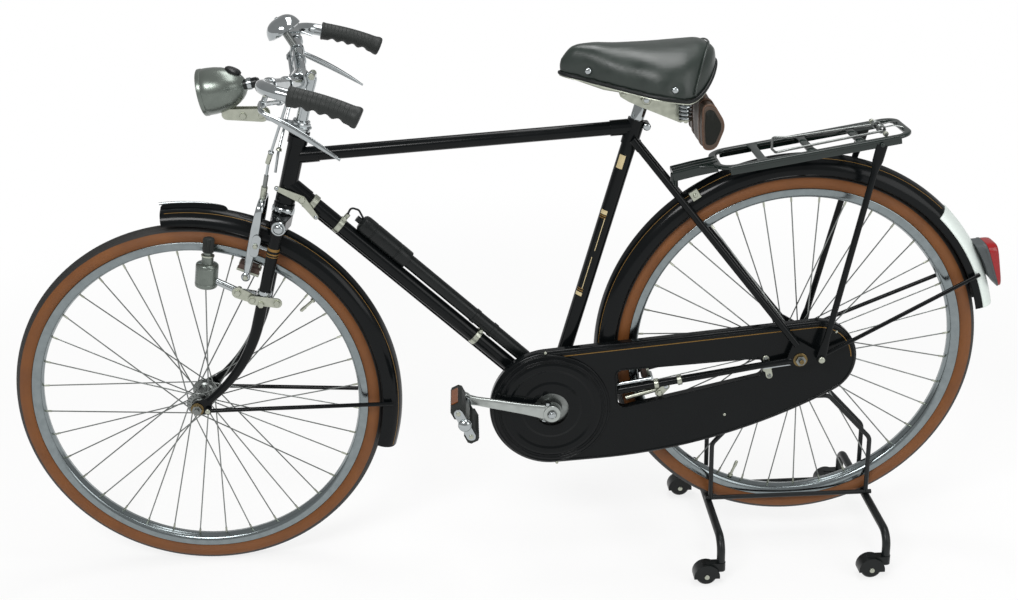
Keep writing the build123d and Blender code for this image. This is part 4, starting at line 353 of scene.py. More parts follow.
# Plain finishes: colours, blotch size, roughness and its spread, grain size and depth, metallic, IOR, coat, specular
FINISHES = {
    # Stove enamel over steel: deep gloss black, faintly uneven, with dust softening the shine
    "stove_enamel": ("#090B0C", "#0E1112", 60, 0.16, 0.05, 2.5, 0.01, 0.0, 1.5, 0.0, 0.15),
    # Brushed-on dark green paint of the rack: glossy, with brush waves
    "rack_enamel": ("#0E1816", "#16231F", 30, 0.16, 0.05, 3.0, 0.02, 0.0, 1.5, 0.0, 0.5),
    # Powder coat of the stand: satin black
    "powder_coat": ("#0F1213", "#171B1C", 20, 0.38, 0.06, 1.2, 0.02, 0.0, 1.5, 0.0, 0.3),
    # Chrome plate on polished steel, with faint pitting
    "chrome_plate": ("#B4B9BA", "#9CA2A4", 18, 0.1, 0.05, 1.5, 0.006, 1.0, 1.5, 0.0),
    # Chrome of the rims, dulled by brake pads and weather
    "worn_chrome": ("#8C9496", "#767E80", 14, 0.2, 0.06, 1.2, 0.01, 1.0, 1.5, 0.0),
    # Zinc plated steel: dull pale grey with a yellow cast
    "zinc_plate": ("#B9BCAE", "#9FA396", 10, 0.36, 0.08, 1.0, 0.02, 1.0, 1.5, 0.0),
    # Drawn steel wire and hub shells, gone grey
    "drawn_steel": ("#8E9290", "#6E716F", 12, 0.34, 0.08, 1.0, 0.01, 1.0, 1.5, 0.0),
    # Forged alloy of the cranks, satin
    "forged_alloy": ("#B4B9B6", "#9EA3A0", 16, 0.34, 0.06, 1.0, 0.012, 1.0, 1.5, 0.0),
    # Silver-grey lacquer on the lamp and the dynamo
    "silver_lacquer": ("#747B75", "#636A64", 14, 0.3, 0.06, 0.8, 0.01, 0.75, 1.5, 0.2),
    # Pale green-white paint of the mudguard tail
    "pale_paint": ("#6F887C", "#627A6E", 40, 0.3, 0.06, 2.5, 0.015, 0.0, 1.5, 0.2),
    # Moulded rubber of grips and pedal blocks, with a dry bloom
    "moulded_rubber": ("#161918", "#222624", 9, 0.55, 0.08, 0.8, 0.04, 0.0, 1.5, 0.0, 0.35),
    # Grained vinyl of the saddle, dark green-grey and half glossy
    "saddle_vinyl": ("#1B2320", "#27302B", 26, 0.36, 0.06, 1.3, 0.09, 0.0, 1.5, 0.0),
    # Worn black leather of the tool bag, with brown showing through
    "bag_leather": ("#1A1713", "#241F19", 14, 0.46, 0.08, 1.1, 0.08, 0.0, 1.5, 0.0, 0.3),
    # Black waxed leather of the bag's end panels, set darker still as painted shade on the bag's ends
    "bag_panel": ("#0E110E", "#181A15", 9, 0.5, 0.08, 1.1, 0.08, 0.0, 1.5, 0.0, 0.2),
    # Brown leather of the bag's piping and straps
    "bag_piping": ("#473328", "#5E4636", 10, 0.5, 0.08, 0.9, 0.05, 0.0, 1.5, 0.0, 0.35),
    # Injection-moulded black plastic of the pump, the castors and small fittings
    "moulded_plastic": ("#0B0E0E", "#131717", 15, 0.34, 0.06, 0.7, 0.015, 0.0, 1.46, 0.0, 0.3),
    # Grey moulded lamp housing
    "grey_plastic": ("#3B4042", "#4A4F50", 12, 0.45, 0.06, 0.7, 0.02, 0.0, 1.46, 0.0),
    # Gold lining paint
    "gold_lining": ("#8E6C2F", "#705324", 8, 0.34, 0.06, 0.8, 0.004, 0.35, 1.5, 0.0),
    # Pale cream transfer bands
    "cream_transfer": ("#CDBD92", "#B3A177", 8, 0.4, 0.05, 0.8, 0.004, 0.0, 1.5, 0.2),
    # Amber reflector plastic
    "amber_plastic": ("#7C4314", "#5F2F0A", 6, 0.25, 0.05, 1.2, 0.05, 0.0, 1.49, 0.1),
    # Red moulded rear lamp lens
    "red_lens": ("#9A0D12", "#7C070C", 5, 0.2, 0.05, 1.6, 0.06, 0.0, 1.49, 0.1),
    # Red-brown brake rubber
    "brake_rubber": ("#4A3A34", "#5A463E", 6, 0.6, 0.06, 0.8, 0.03, 0.0, 1.5, 0.0),
    # Brass of the axles' washers and studs
    "brass": ("#7E6C48", "#5D5036", 6, 0.35, 0.06, 0.8, 0.01, 1.0, 1.5, 0.0),
}
NODE_FINISH = {
    "enamel": "stove_enamel", "rack_paint": "rack_enamel", "lamp_paint": "silver_lacquer",
    "pale_paint": "pale_paint", "stand_paint": "powder_coat", "chrome": "chrome_plate", "steel": "drawn_steel",
    "alloy": "forged_alloy", "tyre_rubber": "moulded_rubber", "grip_rubber": "moulded_rubber",
    "saddle_cover": "saddle_vinyl", "bag_leather": "bag_leather", "black_plastic": "moulded_plastic",
    "lamp_plastic": "grey_plastic", "red_plastic": "red_lens", "clear_glass": "lamp_glass",
}
# Finishes whose first colour comes from the panel
PANEL_COLOURS = {"stove_enamel": "enamel", "rack_enamel": "rack", "saddle_vinyl": "saddle", "bag_leather": "bag",
                 "pale_paint": "tail", "gold_lining": "gold", "moulded_rubber": "rubber"}


class ROADSTER_OT_finishes(bpy.types.Operator):
    """Makes every finish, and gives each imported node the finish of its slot"""
    bl_idname = "roadster.finishes"
    bl_label = "Finishes"

    def execute(self, context):
        colours = context.scene.roadster_colours
        for name, (colour, *values) in FINISHES.items():
            picked = (*getattr(colours, PANEL_COLOURS[name]), 1.0) if name in PANEL_COLOURS else linear(colour)
            finish(name, picked, *values)
        gum_tyre((*colours.gum, 1.0))
        clear("lamp_glass", "#E8ECEA", 0.08, LENS_RIBS)
        for row in frame["record"]["subparts"]:
            node = frame["nodes"][row["node"]]
            node.data.materials.clear()
            node.data.materials.append(bpy.data.materials[NODE_FINISH[row["material_slot"]]])
        return {"FINISHED"}


def band(at, along, radius, wall, width, segments=40):
    """A flat ring round an axis, with broken edges."""
    half, edge = width / 2, min(wall * 0.4, width * 0.2)
    return turned(at, along, [(-half, radius), (-half, radius + wall - edge), (edge - half, radius + wall),
                              (half - edge, radius + wall), (half, radius + wall - edge), (half, radius)], segments)


def stud(at, along, radius, height, segments=24):
    """A domed rivet or bolt head."""
    turn = np.linspace(0, np.pi / 2, 7)
    dome = np.stack([height * (0.35 + 0.65 * np.sin(turn)), radius * np.cos(turn)], 1)
    return turned(at, along, [(0, 0), (0, radius), *dome], segments)


def hexagon(at, along, radius, height):
    """A six-sided nut with a chamfered face."""
    return turned(at, along, [(0, 0), (0, radius), (height * 0.8, radius), (height, radius * 0.85), (height, 0)], 6)


def slab(frame_of, outline, low, high, soft=0.8):
    """A plate: an outline (a, b) about its middle, between two offsets, its edges softened by so many millimetres."""
    outline = np.asarray(outline, float)
    centre = outline.mean(0)
    reach = np.linalg.norm(outline - centre, axis=1).mean()
    rows = ((0.0, low), (1 - soft / reach, low), (1.0, low + soft), (1.0, high - soft), (1 - soft / reach, high),
            (0.0, high))
    return np.stack([frame_of(*(centre + (outline - centre) * share).T, np.full(len(outline), place))
                     for share, place in rows])


def hull(first, first_radius, second, second_radius, steps=12):
    """Outline of two circles and the straight lines that touch both."""
    first, second = np.asarray(first, float), np.asarray(second, float)
    run = second - first
    heading = np.arctan2(run[1], run[0])
    open_turn = np.arccos((first_radius - second_radius) / np.linalg.norm(run))
    back = heading + np.linspace(open_turn, 2 * np.pi - open_turn, steps)
    ahead = heading + np.linspace(-open_turn, open_turn, steps)
    return np.concatenate([first + first_radius * np.stack([np.cos(back), np.sin(back)], 1),
                           second + second_radius * np.stack([np.cos(ahead), np.sin(ahead)], 1)])


def round_axle(axle, radius, degrees, y=0.0):
    """Points round an axle, by radius, degrees from straight up to the rear, and y to the left."""
    turn = np.radians(np.asarray(degrees, float))[..., None]
    radius, y = np.asarray(radius, float)[..., None], np.asarray(y, float)[..., None]
    return axle + MM * (radius * (np.cos(turn) * RISE + np.sin(turn) * BACK) + y * LEFT)


# Wheels: name, axle, the hub's flange and its left and right end in millimetres, and the valve's turn in degrees
SPOKES = 36
WHEELS = (("front", FRONT_AXLE, 33.0, 39.0, 39.0, 53.0), ("rear", REAR_AXLE, 24.0, 50.5, 30.0, 205.0))


class ROADSTER_OT_tyres(bpy.types.Operator):
    """Tyres: a round section carried round each axle, with fine ribs on the tread"""
    bl_idname = "roadster.tyres"
    bl_label = "Tyres"

    def execute(self, context):
        half = context.scene.roadster_sizes.tyre_width / MM / 2
        turn = np.radians(np.linspace(-138, 138, 69))
        rib = np.where(np.abs(turn) < np.radians(60), 0.35 * np.cos(turn * 26), 0.0)
        section = np.stack([(half + rib) * np.sin(turn), TYRE_RADIUS - half + (half + rib - 0.35) * np.cos(turn)], 1)
        for name, axle, *_ in WHEELS:
            grid = turned(axle, LEFT, section, 192)
            piece(f"{name}_tyre_moulded", [(grid, "gum_tyre", CLOSED, (1.0, 2 * np.pi * MM * TYRE_RADIUS))],
                  f"{name}_wheel", [f"{name}_tyre"], 60)
        return {"FINISHED"}


def half_hub(flange, end):
    """Half of a hub's profile (distance along, radius), from its middle out to its end."""
    return [(6, 13), (6, 11.8), (flange - 9, 12.2), (flange - 4, 13.2), (flange - 1.5, 16.4), (flange - 1.5, 23.2),
            (flange - 0.8, 24), (flange + 0.8, 24), (flange + 1.5, 23.2), (flange + 1.5, 16.5), (flange + 2, 14.6),
            (flange + 5, 12.9), (end - 1, 12.6), (end, 11.5), (end, 5.2)]


class ROADSTER_OT_wheels(bpy.types.Operator):
    """Rims with two hollows, hubs, valves, and spokes laced three across with their nipples"""
    bl_idname = "roadster.wheels"
    bl_label = "Rims, hubs and spokes"

    def execute(self, context):
        wire = context.scene.roadster_sizes.spoke_width / MM / 2
        edge = np.linspace(0, np.pi, 9)
        left = np.concatenate([
            [(10.5, 315.5), (12.4, 322.0)], np.stack([13.9 + 1.5 * np.cos(edge[::-1]), 322.0 + 1.5 * np.sin(edge)], 1),
            [(15.6, 318.0), (15.2, 313.5), (13.8, 309.4), (11.4, 306.6), (8.6, 305.4), (5.6, 305.2), (3.4, 304.2)]])
        profile = np.concatenate([left, [(0, 303.6)], (left * (-1, 1))[::-1], [(0, 315.5)]])
        number = np.arange(SPOKES)
        angle = 360 / SPOKES * number
        side = np.where(number % 2, 1.0, -1.0)
        lead = np.where(number % 4 < 2, 60.0, -60.0)
        for name, axle, flange, left_end, right_end, valve_at in WHEELS:
            at_hub = round_axle(axle, np.full(SPOKES, 20.0), angle + lead, flange * side)
            at_rim = round_axle(axle, np.full(SPOKES, 304.6), angle, side * 1.5)
            inward = unit(at_hub - at_rim)
            heads = at_hub + MM * (side * 1.5)[:, None] * LEFT
            right = [(-along, radius) for along, radius in half_hub(flange, right_end)]
            shell = [*right[::-1], *half_hub(flange, left_end)]
            stem = round_axle(axle, 304.0, valve_at)
            toward = unit(axle - stem)
            valve = turned(stem, toward, [(-3, 3), (2, 3), (2, 5), (5, 5), (5, 2.7), (24, 2.7), (24, 3.4), (34, 3.4),
                                          (36, 2.2), (36, 0)], 16)
            piece(f"{name}_rim_rolled", [(turned(axle, LEFT, profile, 144), "worn_chrome", CLOSED)], f"{name}_wheel",
                  [f"{name}_rim"], 50)
            piece(f"{name}_hub_laced", [
                (turned(axle, LEFT, shell, 40), "drawn_steel", CLOSED),
                (straight_bars(at_hub, at_rim, wire), "drawn_steel"),
                (straight_bars(at_rim + inward * 0.011, at_rim - inward * 0.001, 2.0), "zinc_plate"),
                (straight_bars(heads, heads + MM * 1.6 * side[:, None] * LEFT, 2.2), "drawn_steel"),
                (valve, "zinc_plate")], f"{name}_wheel", [f"{name}_hub"], 35)
        return {"FINISHED"}


# Mudguards: the eyelet is where the rear stays and the rack's legs end
EYELET = rear_wheel_frame(37.0, 3.0)
GUARD_RADIUS = 388.0
GUARD_EDGE = 366.0
GUARD_HALF = 28.0
GUARD_ROUND = (GUARD_HALF ** 2 + (GUARD_RADIUS - GUARD_EDGE) ** 2) / (2 * (GUARD_RADIUS - GUARD_EDGE))
GUARD_TURN = np.radians(101.0)
GUARD_WALL = 1.2
GUARD_BEAD = 1.7
LINING_SHARE = 0.37


def on_guard(share, offset=0.0):
    """A point (y, radius) on the mudguard's section, by the share of the way from its crown to its left edge."""
    turn = np.asarray(share, float) * GUARD_TURN
    reach = GUARD_ROUND + offset
    return np.stack([reach * np.sin(turn), GUARD_RADIUS - GUARD_ROUND + reach * np.cos(turn)], -1)


def guard(axle, start, end, inside, outside, bead, rows, depth=(1.0, 1.0)):
    """A mudguard: its round section with rolled edges, carried round the axle between two angles.

    The depth is the share of the full skirt at the start and 40 degrees further on.
    """
    angles = np.linspace(start, end, rows)[:, None]
    deep = np.interp(angles, (start, start + 40.0), depth)
    share = np.linspace(-1, 1, 33) * deep
    mean = (inside + outside) / 2
    crown = 1.1 * np.exp(-(share / 0.085) ** 2)[..., None] * (0, 1)
    roll = np.linspace(0, np.pi, 9)[1:-1, None]
    edges = []
    for step in SIDES:
        core, turn = on_guard(step * deep, mean), GUARD_TURN * deep
        out = np.stack([step * np.sin(turn), np.cos(turn)], -1)
        down = np.stack([step * np.cos(turn), -np.sin(turn)], -1)
        ring = core + bead * (np.cos(roll) * out + np.sin(roll) * down)
        edges.append((ring[:, ::step], np.repeat(core, len(roll), 1)))
    loop = np.concatenate([on_guard(share, outside) + crown, edges[0][0],
                           on_guard(share[:, ::-1], inside) + crown[:, ::-1], edges[1][0]], 1)
    core = np.concatenate([on_guard(share, mean) + crown, edges[0][1],
                           on_guard(share[:, ::-1], mean) + crown[:, ::-1], edges[1][1]], 1)
    shell = round_axle(axle, loop[..., 1], angles + 0 * loop[..., 1], loop[..., 0])
    middles = round_axle(axle, core[..., 1], angles + 0 * core[..., 1], core[..., 0])
    return np.concatenate([middles[:1], shell, middles[-1:]])


def lining(axle, start, end, share, width, rows=90):
    """A painted line on a mudguard, at a share of the way from its crown to its edge."""
    y, radius = on_guard(share, 0.05)
    path = round_axle(axle, np.full(rows, radius), np.linspace(start, end, rows), np.full(rows, y))
    return swept(path, width / 2, 6)


class ROADSTER_OT_mudguards(bpy.types.Operator):
    """Mudguards with rolled edges, a raised crown and gold lines, the pale tail, and the crest"""
    bl_idname = "roadster.mudguards"
    bl_label = "Mudguards"

    def execute(self, context):
        line = context.scene.roadster_sizes.lining_width / MM
        linings = [[(lining(axle, start, end, LINING_SHARE * step, line), "gold_lining") for step in SIDES]
                   for axle, start, end in ((FRONT_AXLE, -1.0, 110.0), (REAR_AXLE, -84.0, 47.0))]
        peg = steer(CROWN_LOW)
        piece("front_mudguard_rolled", [
            (guard(FRONT_AXLE, -2.2, 110.6, -GUARD_WALL, 0.0, GUARD_BEAD, 100, (0.83, 1.0)), "stove_enamel"),
            *linings[0],
            (bar(peg, peg - MM * 8 * STEER, 5.0, 16), "stove_enamel")],
            "steering", ["front_mudguard"])
        bridge = rear_wheel_frame(-218.0, 342.0)
        piece("rear_mudguard_rolled", [
            (guard(REAR_AXLE, -86.0, 81.0, -GUARD_WALL, 0.0, GUARD_BEAD, 140), "stove_enamel"), *linings[1],
            (bar(bridge, bridge + unit(REAR_AXLE - bridge) * 0.018, 5.0, 16), "stove_enamel")],
            "frame", ["rear_mudguard"])
        tail = guard(REAR_AXLE, 48.0, 81.0, 0.3, 1.8, 1.9, 40, (0.72, 0.72))
        piece("mudguard_tail_painted", [(tail, "pale_paint")], "frame", ["mudguard_tail"])
        along = np.linspace(0, 1, 40)
        angle = -2.2 + 18.2 * along
        height = 8.5 * np.clip(1 - (2 * along - 1) ** 10, 0.03, 1) ** 0.5
        across = np.array([(-3.2, -1.0), (-2.6, 0.45), (-1.4, 0.92), (0, 1.0), (1.4, 0.92), (2.6, 0.45), (3.2, -1.0)])
        crest = round_axle(FRONT_AXLE, GUARD_RADIUS + 0.8 + height[:, None] * np.maximum(across[None, :, 1], 0)
                           + np.minimum(across[None, :, 1], 0), angle[:, None] + 0 * across[None, :, 0],
                           across[None, :, 0] + 0 * angle[:, None])
        closing = [np.repeat(crest[[row]].mean(1, keepdims=True), 7, axis=1) for row in (0, -1)]
        edge = round_axle(FRONT_AXLE, GUARD_RADIUS + 9.0, np.linspace(-2.4, 13.0, 30), np.zeros(30))
        thick = np.interp(np.arange(30), (0, 12, 29), (2.6, 2.2, 0.6))
        piece("mudguard_crest_pressed", [(np.concatenate([closing[0], crest, closing[1]]), "stove_enamel"),
                                         (swept(edge, thick, 12), "chrome_plate")],
              "steering", ["mudguard_crest"])
        for end, body, start, foot_at in (("front", "steering", front_wheel_frame(20, -4), 95.2),
                                          ("rear", "frame", EYELET, 69.9)):
            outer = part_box(f"{end}_mudguard_stays")[1][1] / MM - 3.0
            axle = FRONT_AXLE if end == "front" else REAR_AXLE
            rods = []
            for side in SIDES:
                eye = start + MM * outer * side * LEFT
                rods += [(bar(eye, round_axle(axle, 373.0, foot_at, 34.2 * side), 4.0, 18), "stove_enamel"),
                         (turned(eye - MM * 3 * side * LEFT, LEFT * side, [(0, 0), (0, 7), (6, 7), (6, 0)], 24),
                          "stove_enamel"),
                         (stud(eye + MM * 3 * side * LEFT, LEFT * side, 5.2, 3.5), "zinc_plate")]
            piece(f"{end}_stays_drawn", rods, body, [f"{end}_mudguard_stays"], 35)
        return {"FINISHED"}


# Handlebar, levers, bell and grips: distances to the side from the middle, in millimetres
BAR_INNER = 30.8
BAR_OUTER = 282.0
BELL_OUT = 150.0


def shoulder(share, side):
    """A point on the handlebar's run from the clamp (share 0) to its shoulder (share 1)."""
    inner, outer = bar_frame(0, 0, BAR_INNER * side), bar_frame(-35.6, 52.0, BAR_OUTER * side)
    return inner + (outer - inner) * share


class ROADSTER_OT_handlebar(bpy.types.Operator):
    """Handlebar bent from tube, stem with its clamp and bolts, and grips with finger hollows"""
    bl_idname = "roadster.handlebar"
    bl_label = "Handlebar and grips"

    def execute(self, context):
        sides = []
        for side in SIDES:
            start, end = bar_frame(17, 34, 288.0 * side), bar_frame(127, -4, 300.0 * side)
            share = np.linspace(0, 1, 97)
            bow = 6 * share * (1 - share) - 6 * share ** 3
            path = start + share[:, None] * (end - start) + MM * bow[:, None] * RISE
            around = np.linspace(0, 2 * np.pi, 36, endpoint=False)
            below = np.clip(np.cos(around), 0, 1) ** 1.5
            fingers = 4.4 * (0.5 - 0.5 * np.cos(2 * np.pi * np.clip((share - 0.12) / 0.72, 0, 1) * 4)) - 0.6
            flare = 1.8 * np.exp(-((share - 0.955) / 0.045) ** 2) + 0.8 * np.exp(-((share - 0.02) / 0.03) ** 2)
            ribs = 0.35 * np.sin(2 * np.pi * share * 40) * (share < 0.9)
            reach = 16.2 + flare + ribs
            radius = reach[:, None] - fingers[:, None] * below
            radius[[0, -1]] -= 1.5
            sides.append((swept(path, radius, 36), "moulded_rubber"))
        piece("grips_moulded", sides, "steering", ["grips"], 50)
        tube = rounded([bar_frame(17, 34, 288.0), shoulder(1, 1), shoulder(0, 1), shoulder(0, -1), shoulder(1, -1),
                        bar_frame(17, 34, -288.0)], [46, 60, 60, 46], 16)
        bent = swept(tube, BAR_RADIUS, 28, square=unit(STEER + 0.3 * STEER_AHEAD))
        piece("handlebar_bent", [(bent, "chrome_plate")], "steering", ["handlebar"])
        clamp = bar_frame(0, 0)
        quill_top = steer(STEM_TOP)
        lug = np.linspace(0, 1, 14)[:, None]
        neck = steer(STEM_TOP - 40) + lug * (clamp - steer(STEM_TOP - 40)) + MM * (10 * lug * (1 - lug)) * STEER_AHEAD
        piece("stem_forged", [
            (turned(steer(NUT_LOW), STEER, [(0, 13), (0, 17.4), (1, 18), (6, 18), (7, 17.2), (7, 13)], 48),
             "chrome_plate", CLOSED),
            (turned(steer(NUT_LOW + 7.3), STEER, [(0, 13), (0, 17.5), (8, 17.5), (9.5, 16), (9.5, 13)], 8),
             "chrome_plate", CLOSED),
            (turned(steer(NUT_LOW + 17), STEER, [(0, 11.4), (0, 15.5), (2, 16), (3, 15.5), (3, 11.4)], 48),
             "chrome_plate", CLOSED),
            (turned(steer(NUT_TOP - 12), STEER, [(0, 0), (0, 11), (72, 11), (80, 11.6), (92, 11.6), (94, 10.4),
                                                 (94, 0)], 40), "chrome_plate"),
            (swept(neck, np.linspace(12.5, 14.5, 14), 24, square=STEER_AHEAD), "chrome_plate"),
            (turned(clamp - MM * 22 * LEFT, LEFT, [(0, 11.5), (0, 15.6), (1.2, 16.6), (42.8, 16.6), (44, 15.6),
                                                   (44, 11.5)], 40), "chrome_plate", CLOSED),
            (hexagon(quill_top, STEER, 7.5, 6.5), "chrome_plate"),
            (stud(quill_top + MM * 6.5 * STEER, STEER, 4.5, 2.0), "chrome_plate"),
            (bar(bar_frame(22, 3, -13), bar_frame(22, 3, 13), 8.0, 20), "chrome_plate"),
            (hexagon(bar_frame(24, 6, 13), LEFT, 6.5, 6), "zinc_plate"),
            (stud(bar_frame(24, 6, -13), -LEFT, 6.5, 5), "zinc_plate")],
            "steering", ["stem"], 35)
        return {"FINISHED"}


class ROADSTER_OT_levers(bpy.types.Operator):
    """Brake levers of bent bar flattened towards the tip, their clips, and the bell"""
    bl_idname = "roadster.levers"
    bl_label = "Levers and bell"

    def execute(self, context):
        made = []
        for side in SIDES:
            run = unit(shoulder(1, side) - shoulder(0, side))
            hang = MM * (16 * -BACK - 30 * RISE)
            knee, tip = bar_frame(-35, 6, 258.0 * side), bar_frame(86, -80, 282.0 * side)
            path = rounded([shoulder(0.12, side) + hang, shoulder(0.72, side) + hang, knee, tip], [30, 14], 14)
            steps = np.linspace(0, 1, 30)[1:, None]
            path = np.concatenate([path[:-1], path[-2] + steps * (path[-1] - path[-2])
                                   + MM * (14 * steps * (1 - steps)) * RISE])
            reach = np.clip((np.arange(len(path)) - 28) / 29, 0, 1)
            tall = 1 + 0.75 * np.sin(np.pi * np.clip(reach * 1.05, 0, 1)) ** 0.6 * (reach > 0) - 0.25 * reach
            made.append((swept(path, 4.1 - 1.3 * reach, 18, wide=np.where(reach > 0, 0.9 - 0.1 * reach, 1.0), tall=tall,
                               square=RISE), "chrome_plate"))
            made.append((stud(path[0], unit(path[0] - path[1]), 5.2, 4), "chrome_plate"))
            for share in (0.28, 0.66):
                spot = shoulder(share, side)
                made.append((band(spot, run, BAR_RADIUS + 0.2, 2.2, 11), "chrome_plate", CLOSED))
                foot = spot + hang
                made.append((bar(spot + hang * 0.33, foot, 4.6, 16), "chrome_plate"))
                made.append((band(foot, run, 3.9, 2.6, 12, 24), "chrome_plate", CLOSED))
                made.append((hexagon(spot + hang * 0.5 + MM * 4 * run, run, 4.6, 4), "zinc_plate"))
        piece("brake_levers_forged", made, "steering", ["brake_levers"])
        spot = shoulder((BELL_OUT - BAR_INNER) / (BAR_OUTER - BAR_INNER), -1)
        run = unit(shoulder(1, -1) - shoulder(0, -1))
        up = unit(-0.5 * BACK + RISE)
        turn = np.linspace(0, np.pi / 2, 18)
        dome = np.stack([4 + 26 * np.sin(turn) ** 1.1, 34 * np.cos(turn) ** 0.75], 1)
        bell = [(0, 0), (0, 30), (2, 33.2), (2.4, 34.4), (4, 34.4), *dome[1:-1], (30, 3.4), (31.6, 3.2), (32, 0)]
        thumb = [spot + MM * (rise * up + back * BACK) for rise, back in ((38, 0), (38, 30), (28, 44))]
        piece("bell_spun", [
            (turned(spot + MM * 40 * up, up, bell, 64), "chrome_plate"),
            (turned(spot + MM * 10 * up, up, [(0, 0), (0, 7), (30, 7), (31, 22), (33, 22), (33, 0)], 24),
             "drawn_steel"),
            (band(spot, run, BAR_RADIUS + 0.2, 2.2, 14), "chrome_plate", CLOSED),
            (swept(rounded(thumb, [8]), 3.2, 12, tall=0.5, square=up), "chrome_plate")], "steering", ["bell"])
        return {"FINISHED"}


# Headlamp
class ROADSTER_OT_headlamp(bpy.types.Operator):
    """Headlamp: an egg turned about its axis with a bezel, a ribbed glass, its switch, plug and bracket plates"""
    bl_idname = "roadster.headlamp"
    bl_label = "Headlamp"

    def execute(self, context):
        face = bar_frame(-178, -9)
        behind = unit(BACK + np.tan(np.radians(5.0)) * RISE)
        over = unit(np.cross(LEFT, behind))
        lamp = axes(face, behind, over, LEFT)
        shell = [(3, 37.5), (0.5, 39), (0, 40.8), (1.2, 42.2), (4, 42.6), (7.4, 42.4), (8.4, 41.4), (9.2, 41.4),
                 (10, 42), (20, 41.8), (32, 40.8), (44, 38.4), (55, 34.8), (65, 29.6), (73, 23.4), (79, 16.6),
                 (83, 9.6), (84.5, 3), (85, 0)]
        glass = [(3, 37.6), (0.5, 36), (-2.0, 30), (-3.8, 22), (-4.8, 12), (-5.2, 0)]
        bowl = [(3.2, 37), (12, 33), (22, 24), (28, 12), (29, 0)]
        switch = axes(lamp(64, 27), behind, over, LEFT)
        tilt = unit(behind * 0.62 + over)
        piece("headlamp_spun", [
            (turned(face, behind, shell, 72), "silver_lacquer"),
            (turned(face, behind, bowl, 48), "chrome_plate"),
            (turned(switch(0), tilt, [(0, 0), (0, 15), (4, 15), (6.5, 12), (7.5, 7), (7.5, 0)], 32), "moulded_plastic"),
            (bar(lamp(76, 2, 6), lamp(104, 3, 6), 9.5, 20), "moulded_plastic"),
            (band(lamp(90, 2.5, 6), behind, 9.6, 1.4, 8, 28), "chrome_plate", CLOSED),
            (stud(lamp(104, 3, 6), behind, 8, 5), "moulded_plastic"),
            (slab(axes(face, BACK, RISE, LEFT), hull((42, -41), 10, (104, -48), 12), 9, 12), "zinc_plate"),
            (slab(axes(face, BACK, RISE, LEFT), hull((42, -41), 10, (104, -48), 12), -12, -9), "zinc_plate"),
            (hexagon(lamp(66, -52, 12), LEFT, 6.5, 4), "zinc_plate"),
            (hexagon(lamp(98, -57, 12), LEFT, 5.5, 4), "zinc_plate"),
            (straight_bars([lamp(66, -52, -13), lamp(98, -57, -13)], [lamp(66, -52, 13), lamp(98, -57, 13)], 3.2, 14),
             "zinc_plate"),
            (slab(axes(steer(NUT_TOP - 11), STEER_AHEAD, LEFT, STEER), hull((0, 0), 20.5, (70, 0), 11), -1.6, 1.6),
             "chrome_plate")],
            "steering", ["headlamp"])
        piece("headlamp_glass_ribbed", [(turned(face, behind, glass, 72), "lamp_glass")], "steering",
              ["headlamp_glass"])
        return {"FINISHED"}


# Fork furniture, front brake and dynamo
PAD_LOW = 285.0
PAD_OUT = 16.0


def pad(axle, angle, side):
    """A brake pad and its holder inside the rim: two boxes with softened edges."""
    spot = round_axle(axle, PAD_LOW, angle, PAD_OUT * side)
    out = unit(spot - MM * PAD_OUT * side * LEFT - axle)
    block = axes(spot, LEFT, np.cross(out, LEFT), out)
    square = np.array([(-7, -20), (7, -20), (7, 20), (-7, 20)])
    return [(slab(block, square, 4.0, 14.0, 1.5), "brake_rubber"),
            (slab(block, square * 1.08, 0.0, 4.6, 0.8), "zinc_plate")]


